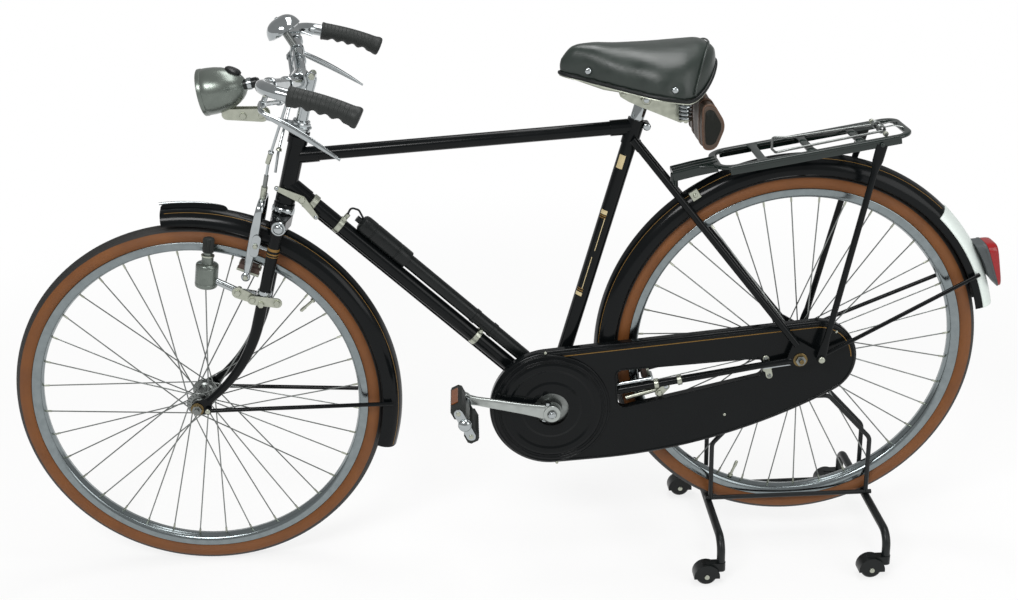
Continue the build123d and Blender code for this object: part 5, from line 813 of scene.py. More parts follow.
class ROADSTER_OT_front_brake(bpy.types.Operator):
    """Front brake: a flattened stirrup over the tyre, its pads, guides and rods with knuckles"""
    bl_idname = "roadster.front_brake"
    bl_label = "Front brake"

    def execute(self, context):
        low, high, ahead, spread = 282.4, 428.5, 40.0, 39.0
        corners = [steer(along, ahead, out) for along, out in ((low, spread), (high, spread), (high, -spread),
                                                               (low, -spread))]
        arch = rounded(corners, [20, 20], 12)
        leg = np.linspace(0, 1, 16)[:, None]
        path = np.concatenate([corners[0] + leg * (arch[1] - corners[0]), arch[2:-2],
                               arch[-2] + leg * (corners[3] - arch[-2])])
        height = (path - steer(low, ahead)) @ STEER / MM
        flat = 1.25 + 0.95 * np.clip(np.sin(np.pi * np.clip(height / (high - low + 16), 0, 1)), 0, 1)
        surfaces = [(swept(path, 4.0, 20, wide=0.85, tall=flat, square=STEER_AHEAD), "chrome_plate")]
        for side in SIDES:
            foot = steer(low, ahead, spread * side)
            surfaces += [(bar(foot + MM * 5 * side * LEFT, foot - MM * 23 * side * LEFT, 4.0, 16), "chrome_plate"),
                         (stud(foot + MM * 3 * side * LEFT, LEFT * side, 8.6, 4.5), "chrome_plate"),
                         (hexagon(foot + MM * 6.5 * side * LEFT, LEFT * side, 5, 4), "zinc_plate")]
            reach = foot - FRONT_AXLE
            surfaces += pad(FRONT_AXLE, np.degrees(np.arctan2(reach @ BACK, reach @ RISE)), side)
            guide = steer(CROWN_LOW - 40, ahead - 6, spread * side)
            blade_side = steer(CROWN_LOW - 40, 0, BLADE_OUT * side)
            toward = unit(guide - blade_side)
            surfaces += [(bar(blade_side + toward * 0.0113, guide, 3.4, 14), "chrome_plate"),
                         (slab(axes(guide, STEER, STEER_AHEAD, LEFT), hull((-14, 0), 8, (14, 0), 8), 4 * side - 1.5,
                               4 * side + 1.5), "chrome_plate"),
                         (hexagon(guide + MM * 6 * side * LEFT, LEFT * side, 5, 4), "zinc_plate")]
        top = shoulder(0.12, 1) + MM * (-16 * BACK - 35.2 * RISE)
        knuckle = level(202, 828, 27)
        foot = steer(high, ahead, 12)
        rod = rounded([top, knuckle, foot], [60], 12)
        surfaces += [(swept(rod, 2.6, 12), "chrome_plate"),
                     (swept(np.stack([knuckle + (top - knuckle) * 0.08, knuckle - (top - knuckle) * 0.1]), 4.6, 16),
                      "zinc_plate"),
                     (bar(knuckle + 0.42 * (foot - knuckle), knuckle + 0.75 * (foot - knuckle), 4.2, 16),
                      "drawn_steel"),
                     (bar(knuckle + 0.7 * (foot - knuckle), foot, 6.0, 16), "zinc_plate"),
                     (stud(knuckle + 0.1 * (top - knuckle), unit(top - knuckle), 5.5, 4), "chrome_plate")]
        other_top = shoulder(0.12, -1) + MM * (-16 * BACK - 35.2 * RISE)
        other = rounded([other_top, level(214, 829, -12), level(203, 790, -10)], [60], 12)
        surfaces += [(swept(other, 2.6, 12), "chrome_plate"),
                     (stud(level(214.5, 829, -12), unit(other[0] - other[-1]), 5.5, 7), "zinc_plate")]
        piece("front_brake_forged", surfaces, "steering", ["front_brake"])
        trim = []
        for side in SIDES:
            cap = steer(397.0, -2.0, 64.8 * side)
            trim += [(turned(cap, LEFT * side, [(0, 0), (0, 13.2), (1.6, 13.6), (3.0, 12.6), (3.2, 10.2), (1.8, 9.4),
                                                (1.8, 8.6)], 40), "chrome_plate"),
                     (stud(cap + MM * 1.6 * side * LEFT, LEFT * side, 8.8, 6.5), "chrome_plate")]
            for along, width in ((352.0, 5.0), (343.5, 2.6), (338.5, 1.6)):
                trim.append((band(steer(along, 0, BLADE_OUT * side), STEER, 11.0, 0.25, width), "gold_lining", CLOSED))
        race = [(0, 13), (0, 20.4), (1, 21.2), (7, 21.2), (10, 20.6), (11.6, 19.6), (11.6, 13)]
        trim.append((turned(steer(409.0), STEER, race, 56), "chrome_plate", CLOSED))
        piece("fork_trim", trim, "steering")
        return {"FINISHED"}


class ROADSTER_OT_dynamo(bpy.types.Operator):
    """Bottle dynamo: a turned body with a knurled roller, on plates clamped to the left blade"""
    bl_idname = "roadster.dynamo"
    bl_label = "Dynamo"

    def execute(self, context):
        base = round_axle(FRONT_AXLE, 247.5, 12.3, 42.0)
        out = unit(base - MM * 42.0 * LEFT - FRONT_AXLE)
        body = [(0, 0), (0, 16), (1, 18.4), (3, 20.4), (6, 21), (9, 21), (9.6, 20.4), (11, 20.4), (11.6, 21), (40, 21),
                (40.6, 20.4), (42, 20.4), (42.6, 21), (45, 20.6), (47, 18.6), (48, 15), (48.4, 11.6), (50, 11),
                (64, 10.6), (65, 8), (69, 8), (69, 0)]
        knurl = np.linspace(0, 2 * np.pi, 72, endpoint=False)
        roller = turned(base, out, [(69, 0), (69, 9), (70, 10), (94, 10), (96, 9.2), (97, 7), (98, 3), (98, 0)], 72)
        centre = base + MM * np.array((69, 69, 70, 94, 96, 97, 98, 98.0))[:, None, None] * out
        roller = centre + (roller - centre) * (1 + 0.05 * np.sign(np.sin(knurl * 18)))[None, :, None]
        clamp = steer(258.0, 0, BLADE_OUT)
        plates = axes(FRONT_AXLE, BACK, RISE, LEFT)
        spots = [np.array((112.9, 230.7)), np.array((138.9, 216.3)), np.array((153.5, 206.4)), np.array((183.1, 206.2))]
        surfaces = [(turned(base, out, body, 56), "silver_lacquer"), (roller, "moulded_rubber"),
                    (turned(base + MM * 61 * out, out, [(0, 8), (0, 12.2), (2.4, 12.2), (2.4, 8)], 40),
                     "zinc_plate", CLOSED),
                    (slab(plates, hull(spots[0], 11, spots[1], 9), 57, 60), "zinc_plate"),
                    (slab(plates, hull(spots[1], 9, spots[3], 9.5), 64.6, 67.6), "zinc_plate"),
                    (slab(plates, hull(spots[1], 9, spots[2], 8), 56, 59), "zinc_plate")]
        for spot, tall in zip(spots, (60, 66, 67.6, 67.6)):
            surfaces.append((hexagon(plates(*spot, tall), LEFT, 6.2, 4.5), "zinc_plate"))
        surfaces += [(bar(plates(*spots[0], 36), plates(*spots[0], 60), 5.0, 16), "zinc_plate"),
                     (bar(base + MM * 20 * out, plates(*spots[0], 50), 6.5, 18), "chrome_plate"),
                     (bar(plates(*spots[0], 52), plates(*(spots[1] + (6, 6)), 52), 7.0, 18), "chrome_plate")]
        for along in (-4.0, 7.0):
            surfaces.append((band(clamp + MM * along * STEER, STEER, 11.2, 2.2, 8.0), "chrome_plate", CLOSED))
        piece("dynamo_turned", surfaces, "steering", ["dynamo"])
        return {"FINISHED"}


# Saddle, its under-frame and the tool bag; rows are the distance behind the post, half width and top, in millimetres
SADDLE_ROWS = [(-149, 16, 93), (-122, 24, 109), (-95, 40, 111), (-40, 72, 104), (20, 101, 100), (62, 99, 101),
               (100, 88, 103), (132, 86, 105)]
SADDLE_SLOPE = np.tan(np.radians(13.35))
SADDLE_POWER = 0.73
NOSE_START, NOSE_LENGTH = -121, 28
REAR_START, REAR_LENGTH = 62, 70
RIVETS = ((-99.4, 65.3), (45.6, 31.3))
DENT_DEPTH = 4.0
# The cushion: how much smaller its cloth starts, its mesh size, its largest move and its held edge, in millimetres
CUSHION_INSET, CUSHION_MESH, CUSHION_MOVE, CUSHION_EDGE = 3.0, 5.0, 4.0, 7
# The cloth's run, and how many times its move is then evened out
CLOTH_FRAMES = 20
CLOTH_PRESSURE = 4.0
EVENING = 60


def saddle_base(back):
    """Height of the saddle's lower edge over the post's top: a line that falls to the rear and sweeps up at the end."""
    back = np.asarray(back, float)
    return 25 - SADDLE_SLOPE * back + 66 * np.clip((back - REAR_START) / REAR_LENGTH, 0, 1) ** 2


def on_saddle(back, turn, inset):
    """A saddle point: a superellipse over the base, by the distance behind the post and the turn across the top."""
    back, turn = np.broadcast_arrays(np.asarray(back, float), np.asarray(turn, float))
    half, top = smooth_table(SADDLE_ROWS, back.ravel()).T.reshape(2, *back.shape)
    ends = (NOSE_START - back) / NOSE_LENGTH, (back - REAR_START) / REAR_LENGTH, (back - 96) / 36
    nose, rear, cap = [np.clip(reach, 0, 1) ** 2 for reach in ends]
    height = (top - inset - saddle_base(back)) * (0.47 + 0.53 * np.sqrt(1 - nose)) * (0.35 + 0.65 * np.sqrt(1 - cap))
    across = (half - inset) * np.sqrt(np.clip(1 - nose - rear, 0, 1))
    across = across * np.sign(np.cos(turn)) * np.abs(np.cos(turn)) ** SADDLE_POWER
    return post_frame(back, saddle_base(back) + height * np.abs(np.sin(turn)) ** SADDLE_POWER, across)


def swollen(made, voxel_mm, cap_mm, held):
    """Pads a closed form: an even remesh is blown up as cloth, held at its lower edge, and moves by the cap at most.

    The move is then averaged with that of the neighbours a number of times, which evens out small buckles.
    """
    even = made.modifiers.new("even", "REMESH")
    even.mode = "VOXEL"
    even.voxel_size = MM * voxel_mm
    shape = bpy.data.meshes.new_from_object(made.evaluated_get(bpy.context.evaluated_depsgraph_get()))
    made.modifiers.clear()
    made.data = shape
    start = np.empty(len(shape.vertices) * 3)
    shape.vertices.foreach_get("co", start)
    start = start.reshape(-1, 3)
    edge = made.vertex_groups.new(name="lower_edge")
    edge.add(np.flatnonzero(held(start)).tolist(), 1.0, "REPLACE")
    cloth = made.modifiers.new("cloth", "CLOTH")
    cloth.settings.use_pressure = True
    cloth.settings.uniform_pressure_force = CLOTH_PRESSURE
    cloth.settings.vertex_group_mass = edge.name
    cloth.settings.effector_weights.gravity = 0.0
    cloth.collision_settings.use_collision = False
    cloth.point_cache.frame_end = CLOTH_FRAMES
    for step in range(1, CLOTH_FRAMES + 1):
        bpy.context.scene.frame_set(step)
    blown = np.empty(start.size)
    made.evaluated_get(bpy.context.evaluated_depsgraph_get()).data.vertices.foreach_get("co", blown)
    made.modifiers.clear()
    made.vertex_groups.clear()
    bpy.context.scene.frame_set(1)
    shift = blown.reshape(-1, 3) - start
    far = np.linalg.norm(shift, axis=1, keepdims=True)
    shift *= np.minimum(1, MM * cap_mm / np.maximum(far, 1e-9))
    ends = np.empty(len(shape.edges) * 2, int)
    shape.edges.foreach_get("vertices", ends)
    first, second = ends.reshape(-1, 2).T
    count = np.maximum(np.bincount(ends, minlength=len(start)), 1)[:, None]
    for _ in range(EVENING):
        around = np.zeros_like(shift)
        np.add.at(around, first, shift[second])
        np.add.at(around, second, shift[first])
        shift = (shift + around / count) / 2
    return start + shift


class ROADSTER_OT_saddle(bpy.types.Operator):
    """Saddle of padded vinyl with rivets, a rear seam and a rolled lower edge"""
    bl_idname = "roadster.saddle"
    bl_label = "Saddle"

    def execute(self, context):
        back = np.concatenate([NOSE_START - NOSE_LENGTH * np.cos(np.linspace(0, np.pi / 2, 14)),
                               np.linspace(-118, 58, 46),
                               REAR_START + REAR_LENGTH * np.sin(np.linspace(0, np.pi / 2, 26))])[:, None]
        turn = np.linspace(0, np.pi, 61)[None]
        base = np.linspace(-1, 1, 17)[None, 1:-1]
        inset = CUSHION_INSET
        arch = on_saddle(back, turn, inset)
        under = (arch[:, :1] + arch[:, -1:]) / 2 + (arch[:, :1] - arch[:, -1:]) / 2 * base[..., None]
        made = piece("saddle_padded", [(np.concatenate([arch, under], 1), "saddle_vinyl")], "frame",
                     ["saddle"], 70)

        def over_edge(points):
            """Height of points over the saddle's lower edge, and their place behind and over the post, in mm."""
            reach = (points - post_frame(0)) / MM
            behind, rise = reach @ BACK, reach @ RISE
            return rise - saddle_base(behind), behind, rise

        points = swollen(made, CUSHION_MESH, CUSHION_MOVE, lambda spots: over_edge(spots)[0] < CUSHION_EDGE)
        made.data.materials.clear()
        made.data.materials.append(bpy.data.materials["saddle_vinyl"])
        behind, rise = over_edge(points)[1:]
        heads = []
        for spot in RIVETS:
            gap = np.hypot(behind - spot[0], rise - spot[1])
            for side in SIDES:
                ours = points[:, 1] * side > 0
                reach = np.abs(points[ours & (gap < 9), 1]).max() / MM
                points = points - (ours * DENT_DEPTH * MM * np.exp(-(gap / 10) ** 2) * side)[:, None] * LEFT
                rivet = stud(post_frame(*spot, (reach - DENT_DEPTH) * side), LEFT * side, 6.0, 4.2)
                heads.append((rivet, "chrome_plate"))
        made.data.vertices.foreach_set("co", points.ravel())
        made.data.shade_smooth()
        smooth = made.modifiers.new("smooth", "SUBSURF")
        smooth.levels = smooth.render_levels = 1
        across = np.linspace(0.03, np.pi - 0.03, 60)
        seam = on_saddle(80 + 40 * np.sin(across), across, -0.6)
        edge = on_saddle(back[:, 0], np.zeros(len(back)), -0.5)
        other = on_saddle(back[:, 0], np.full(len(back), np.pi), -0.5)
        rim = np.concatenate([edge[1:-1], other[-2:0:-1]])
        heads += [(swept(seam, 1.7, 10), "saddle_vinyl"),
                  (swept(rim, 3.4, 12, square=RISE, loop=True), "moulded_plastic", CLOSED),
                  (swept(rim - MM * 4.2 * RISE, 1.3, 8, square=RISE, loop=True), "zinc_plate", CLOSED)]
        piece("saddle_trim", heads, "frame")
        return {"FINISHED"}


class ROADSTER_OT_seat_frame(bpy.types.Operator):
    """Seat post with its clip, side plates, coil springs and bolts, and the seat lug's bolt"""
    bl_idname = "roadster.seat_frame"
    bl_label = "Seat post and springs"

    def execute(self, context):
        foot = seat(SEAT_LUG + 14.0)
        corners = [(-48, 25), (-30, 25), (-10, 19), (30, 1), (66, -15), (74, -22), (77, -34), (74, -42), (62, -45),
                   (40, -34), (-8, -10), (-30, 2), (-44, 12)]
        made = [(turned(foot, SEAT, [(0, 0), (0, 12.7), (34, 12.7), (36, 11.6), (46, 11.6), (46, 0)], 40),
                 "chrome_plate"),
                (bar(post_frame(0, 4, -24), post_frame(0, 4, 24), 13.0, 32), "zinc_plate"),
                (bar(post_frame(69, -36, -50), post_frame(69, -36, 50), 5.0, 18), "zinc_plate"),
                (swept(np.stack([post_frame(-8, 10), post_frame(-70, 26), post_frame(-116, saddle_base(-116) - 6)]),
                       5.0, 16), "zinc_plate")]
        for side in SIDES:
            made += [(slab(post_frame, corners, 26 * side - 2, 26 * side + 2, 1.0), "zinc_plate"),
                     (hexagon(post_frame(2, 4, 28 * side), LEFT * side, 10, 6), "zinc_plate"),
                     (stud(post_frame(2, 4, 34 * side), LEFT * side, 5.5, 3), "chrome_plate"),
                     (hexagon(post_frame(66, -33, 28 * side), LEFT * side, 7, 5), "zinc_plate"),
                     (stud(post_frame(-38, 17, 28 * side), LEFT * side, 5, 3), "zinc_plate")]
            turn = np.linspace(0, 5.25 * 2 * np.pi, 150)
            coil = post_frame(69 + 10.4 * np.cos(turn), -33 + 36.5 * turn / turn[-1], 45 * side + 10.4 * np.sin(turn))
            made += [(swept(coil, 2.5, 10, square=RISE), "chrome_plate"),
                     (turned(post_frame(69, -36, 45 * side), RISE, [(0, 0), (0, 13), (2.5, 13), (2.5, 0)], 32),
                      "zinc_plate")]
        ear = seat(SEAT_LUG + 7.0, -20.3)
        made += [(stud(ear + MM * 11 * LEFT, LEFT, 7.2, 4.5), "chrome_plate"),
                 (hexagon(ear - MM * 11 * LEFT, -LEFT, 7.2, 5), "chrome_plate")]
        piece("seat_post_clipped", made, "frame", ["seat_post"], 35)
        return {"FINISHED"}


class ROADSTER_OT_tool_bag(bpy.types.Operator):
    """Tool bag: a rounded outline carried across, full in the middle and sagging, with piping, straps and buckles"""
    bl_idname = "roadster.tool_bag"
    bl_label = "Tool bag"

    def execute(self, context):
        corners = MM * np.array([(94, -44), (97, -4), (114, -4), (134, -42), (114, -86), (95, -82), (94, -44)])
        outline = rounded(corners, [9, 14, 30, 15, 8], 9)[:-1] / MM
        centre = outline.mean(0)
        y = np.concatenate([[-82.5, -82.5, -82.2, -81, -78.5], np.linspace(-74, 74, 25), [78.5, 81, 82.2, 82.5, 82.5]])
        size = np.concatenate([[0, 0.86, 0.94, 0.985, 1], 1 + 0.06 * np.cos(np.linspace(-np.pi / 2, np.pi / 2, 25)),
                               [1, 0.985, 0.94, 0.86, 0]])
        spots = centre + (outline - centre)[None] * size[:, None, None]
        low = np.clip((-40 - spots[..., 1]) / 40, 0, 1)
        sag = low * (3.0 * (1 - (y / 82.5) ** 2) + 0.8 * np.sin(y / 11))[:, None]
        made = [(post_frame(spots[..., 0] + 0.8 * np.sin(y / 9)[:, None], spots[..., 1] - sag, y[:, None] + 0 * sag),
                 "bag_leather")]
        for side in SIDES:
            made.append((swept(post_frame(*(centre + (outline - centre) * 1.005).T, 80.0 * side), 2.2, 10, loop=True),
                         "bag_piping", CLOSED))
            face = axes(post_frame(*centre, 82.2 * side), BACK, RISE, LEFT * side)
            # End panels: black leather whose colour is darkened further as painted shade
            made.append((slab(face, (outline - centre) * 0.8, 0.0, 1.4), "bag_panel"))
            wrap = centre + (outline - centre) * 1.075
            made.append((swept(post_frame(*wrap.T, 40.0 * side), 1.0, 12, wide=1.3, tall=7.5, boxy=0.4, loop=True),
                         "bag_piping", CLOSED))
            lug = [post_frame(104, -14, 40 * side), post_frame(104, saddle_base(104) - 0.3, 40 * side)]
            made.append((swept(np.stack(lug), 1.0, 12, wide=2.4, tall=7.0, boxy=0.4), "bag_piping"))
            buckle = axes(post_frame(130.5, -43, 40 * side), RISE, LEFT, BACK)
            frame_line = rounded([buckle(0, -10), buckle(-9, -10), buckle(-9, 10), buckle(9, 10), buckle(9, -10),
                                  buckle(0, -10)], [3, 3, 3, 3], 5)
            made.append((swept(frame_line, 1.5, 8, square=BACK), "zinc_plate"))
        piece("tool_bag_sewn", made, "frame", ["tool_bag"], 50)
        return {"FINISHED"}


# Rack and rear lamp
DECK_TURN = np.radians(5.74)
DECK_BACK = BACK * np.cos(DECK_TURN) + RISE * np.sin(DECK_TURN)
deck = axes(rear_wheel_frame(-148.0, 388.5), DECK_BACK, LEFT, np.cross(LEFT, DECK_BACK))
RACK_LENGTH = 360.0
RACK_HALF = 64.0


class ROADSTER_OT_rack(bpy.types.Operator):
    """Rack: box-section frame and flared cross bars, ribbed tongue, legs, and the sprung wire clip"""
    bl_idname = "roadster.rack"
    bl_label = "Rack"

    def execute(self, context):
        inset = 6.0
        half = RACK_HALF - inset
        far = RACK_LENGTH - inset
        ring = rounded([deck(180, half, -3), deck(far, half, -3), deck(far, -half, -3), deck(inset, -half, -3),
                        deck(inset, half, -3), deck(180, half, -3)], [24, 24, 30, 30], 12)[:-1]
        up = np.cross(LEFT, DECK_BACK)
        made = [(swept(ring, 1.0, 24, wide=6.8, tall=3.6, square=up, boxy=0.55, loop=True), "rack_enamel", CLOSED)]
        share = np.linspace(-1, 1, 41)
        for along in (86.0, 176.0, 266.0):
            made.append((swept(deck(np.full(41, along), share * 58, np.full(41, -3.0)), 1.0, 20,
                               wide=7.4 + 9.5 * np.abs(share) ** 7, tall=3.4 + 0.4 * np.abs(share) ** 9, square=up,
                               boxy=0.6), "rack_enamel"))
        tongue = rounded([deck(8, 0, -3), deck(-34, 0, -4), rear_wheel_frame(-222.5, 374.2)], [70], 22)
        bridge = rear_wheel_frame(-218.0, 345.0)
        fine = np.linspace(0, 1, 12)[:, None]
        tongue = np.concatenate([tongue[0] + fine * (tongue[1] - tongue[0]), tongue[2:]])
        made.append((swept(tongue, 1.0, 24, wide=3.0, tall=19.0, boxy=0.4), "rack_enamel"))
        made.append((bar(bridge, bridge + MM * 24 * RISE, 7.0, 18), "rack_enamel"))
        for shift in (-16.5, 0.0, 16.5):
            made.append((swept(tongue + MM * (shift * LEFT + 2.6 * up), 2.4, 10), "rack_enamel"))
        for side in SIDES:
            rail = deck(np.linspace(24, 336, 12), np.full(12, 60.0 * side), np.full(12, -9.0))
            made.append((swept(rail, 1.0, 16, wide=2.6, tall=7.5, square=up, boxy=0.5), "rack_enamel"))
            made.append((swept(tongue + MM * (18.2 * side * LEFT - 7.0 * up), 1.0, 14, wide=1.6, tall=8.5, square=up,
                               boxy=0.4), "rack_enamel"))
            gusset = [deck(12, 34 * side, -4), deck(-8, 20 * side, -4), deck(-24, 15 * side, -4)]
            made.append((swept(np.stack(gusset), 1.0, 14, wide=5.0, tall=3.0, square=up, boxy=0.6), "rack_enamel"))
            foot, top = EYELET + MM * 80.0 * side * LEFT, deck(300, 61.5 * side, -12)
            run = top - foot
            rows = np.array((0, 0.03, 0.06, 0.1, 0.5, 0.88, 0.93, 0.97, 1.0))
            knots = (0, 0.06, 0.1, 0.88, 0.93, 1)
            made.append((swept(foot + rows[:, None] * run, 6.0, 18,
                               wide=np.interp(rows, knots, (1.5, 1.4, 1, 1, 1.7, 1.8)),
                               tall=np.interp(rows, knots, (0.5, 0.55, 1, 1, 0.5, 0.5))), "stove_enamel"))
            made += [(turned(EYELET + MM * 74.8 * side * LEFT, LEFT * side, [(0, 0), (0, 8), (10, 8), (10, 0)], 28),
                      "stove_enamel"),
                     (stud(EYELET + MM * 84.8 * side * LEFT, LEFT * side, 6.5, 4.5), "zinc_plate"),
                     (stud(deck(300, 65.2 * side, -11), LEFT * side, 4.2, 2.5), "rack_enamel")]
        piece("rack_cast", made, "frame", ["rack"], 45)
        arm = rounded([deck(312, 28, 4), deck(136, 36, 4), deck(114, 30, 1), deck(112, 6, 2), deck(124, -40, 10),
                       deck(150, -34, 6), deck(312, -22, 4)], [16, 6, 8, 8, 16], 8)
        clip = [(swept(arm, 2.3, 10, square=up), "drawn_steel"),
                (bar(deck(312, -56, 3), deck(312, 50, 3), 2.5, 12), "drawn_steel")]
        for side in SIDES:
            turn = np.linspace(0, 8 * np.pi, 120)
            coil = deck(312 + 6.5 * np.cos(turn), side * (10 + 12 * turn / turn[-1]), 5 + 6.5 * np.sin(turn))
            clip += [(swept(coil, 1.5, 8, square=up), "drawn_steel"),
                     (swept(rounded([coil[0], deck(336, 12 * side, 6), deck(352, 20 * side, 2)], [10]), 1.5, 8,
                            square=up), "drawn_steel"),
                     (band(deck(312, 46 * side, 3), LEFT, 2.6, 2.2, 7, 20), "zinc_plate", CLOSED)]
        piece("rack_clip_sprung", clip, "frame", ["rack_clip"])
        return {"FINISHED"}


class ROADSTER_OT_rear_lamp(bpy.types.Operator):
    """Rear lamp: rounded-box rings between the tail and the lens face, and a lens with a softened face"""
    bl_idname = "roadster.rear_lamp"
    bl_label = "Rear lamp"

    def execute(self, context):
        turn = np.linspace(0, 2 * np.pi, 56, endpoint=False)
        high = np.sign(np.sin(turn)) * np.abs(np.sin(turn)) ** 0.4
        wide = np.sign(np.cos(turn)) * np.abs(np.cos(turn)) ** 0.4

        def ring(depth, size, toward=0.0):
            """A ring at a depth ahead of the lens face, drawn towards the tail's crown by a share."""
            height = 140 + 44 * high * size
            back = 396 - depth * (1 + 0.6 * high * size) - 10 * (height - 96) / 88
            lens = rear_wheel_frame(back, height, 30 * wide * size)
            rise = 150 + 34 * high * size
            tail = rear_wheel_frame(np.sqrt(390.1 ** 2 - rise ** 2), rise, 27 * wide * size)
            return lens * (1 - toward) + tail * toward

        lens = np.stack([ring(*row) for row in ((13, 0), (13, 1), (8, 1), (4.5, 0.995), (2, 0.975), (0.6, 0.94),
                                                (0, 0.88), (-0.4, 0.5), (-0.6, 0))])
        shell = np.stack([ring(13, 0), ring(13, 0.97), ring(13.6, 1.02), ring(16, 1.02), ring(17, 1.0),
                          *[ring(13, 1.0, share) for share in (0.2, 0.45, 0.7, 0.95, 1.0)], ring(13, 0.9, 1.0),
                          ring(13, 0, 1.0)])
        piece("rear_lamp_shell", [(shell, "grey_plastic"),
                                  (stud(rear_wheel_frame(375, 168, 27), LEFT, 3.0, 1.6), "zinc_plate")], "frame",
              ["rear_lamp_housing"], 50)
        piece("rear_lamp_lens_moulded", [(lens, "red_lens")], "frame", ["rear_lamp_lens"], 50)
        return {"FINISHED"}


# Pump, transfers on the frame, and the rear brake
DOWN_LENGTH = np.linalg.norm(steer(HEAD_LOW + 35.3) - BB) / MM


class ROADSTER_OT_pump(bpy.types.Operator):
    """Pump: a turned barrel with rings and a fat ribbed handle, its two clips and the wire loop"""
    bl_idname = "roadster.pump"
    bl_label = "Pump"

    def execute(self, context):
        barrel = [(90, 0), (90, 9), (93, 12.6), (96, 13.4), (175, 13.4), (175.6, 14.6), (184, 14.6), (184.6, 13.4),
                  (219, 13.4), (219.6, 14.6), (228, 14.6), (228.6, 13.4), (394, 13.4), (394.6, 17), (396, 17.8),
                  (420, 17.8), (420.6, 17.2), (422.4, 17.2), (423, 17.8), (478, 17.8), (478.6, 17.2), (480.4, 17.2),
                  (481, 17.8), (500, 17.8), (506, 16.4), (509, 13), (510, 8), (510, 0)]
        loop = rounded([down_tube(534, 14), down_tube(541, 40), down_tube(527, 46), down_tube(508, 38)], [7, 7], 8)
        made = [(turned(down_tube(0, 31.4), DOWN, barrel, 40), "moulded_plastic"),
                (bar(down_tube(508, 31.4), down_tube(520, 31.4), 6.0, 18), "moulded_plastic"),
                (swept(loop, 2.0, 10), "moulded_plastic")]
        for along in (196.0, 536.0):
            made += [(band(down_tube(along), DOWN, 14.7, 1.6, 11), "zinc_plate", CLOSED),
                     (bar(down_tube(along, 15), down_tube(along, 27), 4.5, 16), "zinc_plate"),
                     (hexagon(down_tube(along, 17, 4), LEFT, 4.5, 5), "zinc_plate")]
        piece("pump_turned", made, "frame", ["pump"], 35)
        return {"FINISHED"}


def transfer(low, high, start, end, radius=14.3):
    """A thin painted patch on the seat tube, between two distances along it and two turns from straight ahead."""
    turn = np.radians(np.linspace(start, end, 18))[:, None]
    along, out = np.array(((low, high, high, low), (0.25, 0.25, -0.4, -0.4)))[:, None]
    loops = seat(along + 0 * turn, (radius + out) * np.cos(turn), (radius + out) * np.sin(turn))
    ends = [np.repeat(loops[[row]].mean(1, keepdims=True), 4, axis=1) for row in (0, -1)]
    return np.concatenate([ends[0], loops, ends[1]])


class ROADSTER_OT_frame_trim(bpy.types.Operator):
    """Cream and gold transfers on the seat tube, the axles' washers, and the mudguard's clip"""
    bl_idname = "roadster.frame_trim"
    bl_label = "Frame trim"

    def execute(self, context):
        painted = [(transfer(low, high, 24, 80), look) for low, high, look in (
            (391, 399, "cream_transfer"), (387, 389, "gold_lining"), (383.5, 384.7, "gold_lining"),
            (224, 231, "cream_transfer"), (233.5, 235.5, "gold_lining"), (238, 239.2, "gold_lining"))]
        painted += [(transfer(483, 509, 36, 86), "cream_transfer")]
        painted += [(transfer(low, high, turn, turn + 5), "cream_transfer")
                    for low, high, turn in ((318, 384, 72), (239, 305, 66))]
        piece("pin_stripes", painted, "frame")
        nuts = []
        for side in SIDES:
            washer = [(0, 5), (0, 13.5), (1.6, 13.5), (2.2, 12.5), (2.2, 5)]
            nuts += [(turned(REAR_AXLE + MM * 68.6 * side * LEFT, LEFT * side, washer, 36), "brass", CLOSED),
                     (stud(REAR_AXLE + MM * 81.5 * side * LEFT, LEFT * side, 4.6, 2.5), "brass")]
        clip = round_axle(REAR_AXLE, 384.0, -29.0, 26.0)
        out = unit(clip - MM * 26 * LEFT - REAR_AXLE)
        tangent = np.cross(out, LEFT)
        nuts += [(slab(axes(clip, tangent, out, LEFT), [(-9, -13), (9, -13), (9, 6), (-9, 6)], 0, 4, 1.0),
                  "zinc_plate"),
                 (stud(clip + MM * (4 * LEFT - 4 * out), LEFT, 4.0, 2.5), "zinc_plate")]
        piece("axle_washers", nuts, "frame")
        hub = []
        for side in SIDES:
            washer = [(0, 5), (0, 12.5), (1.4, 12.5), (2, 11.5), (2, 5)]
            hub.append((turned(FRONT_AXLE + MM * 54.6 * side * LEFT, LEFT * side, washer, 36), "brass", CLOSED))
        piece("front_axle_washers", hub, "steering")
        return {"FINISHED"}


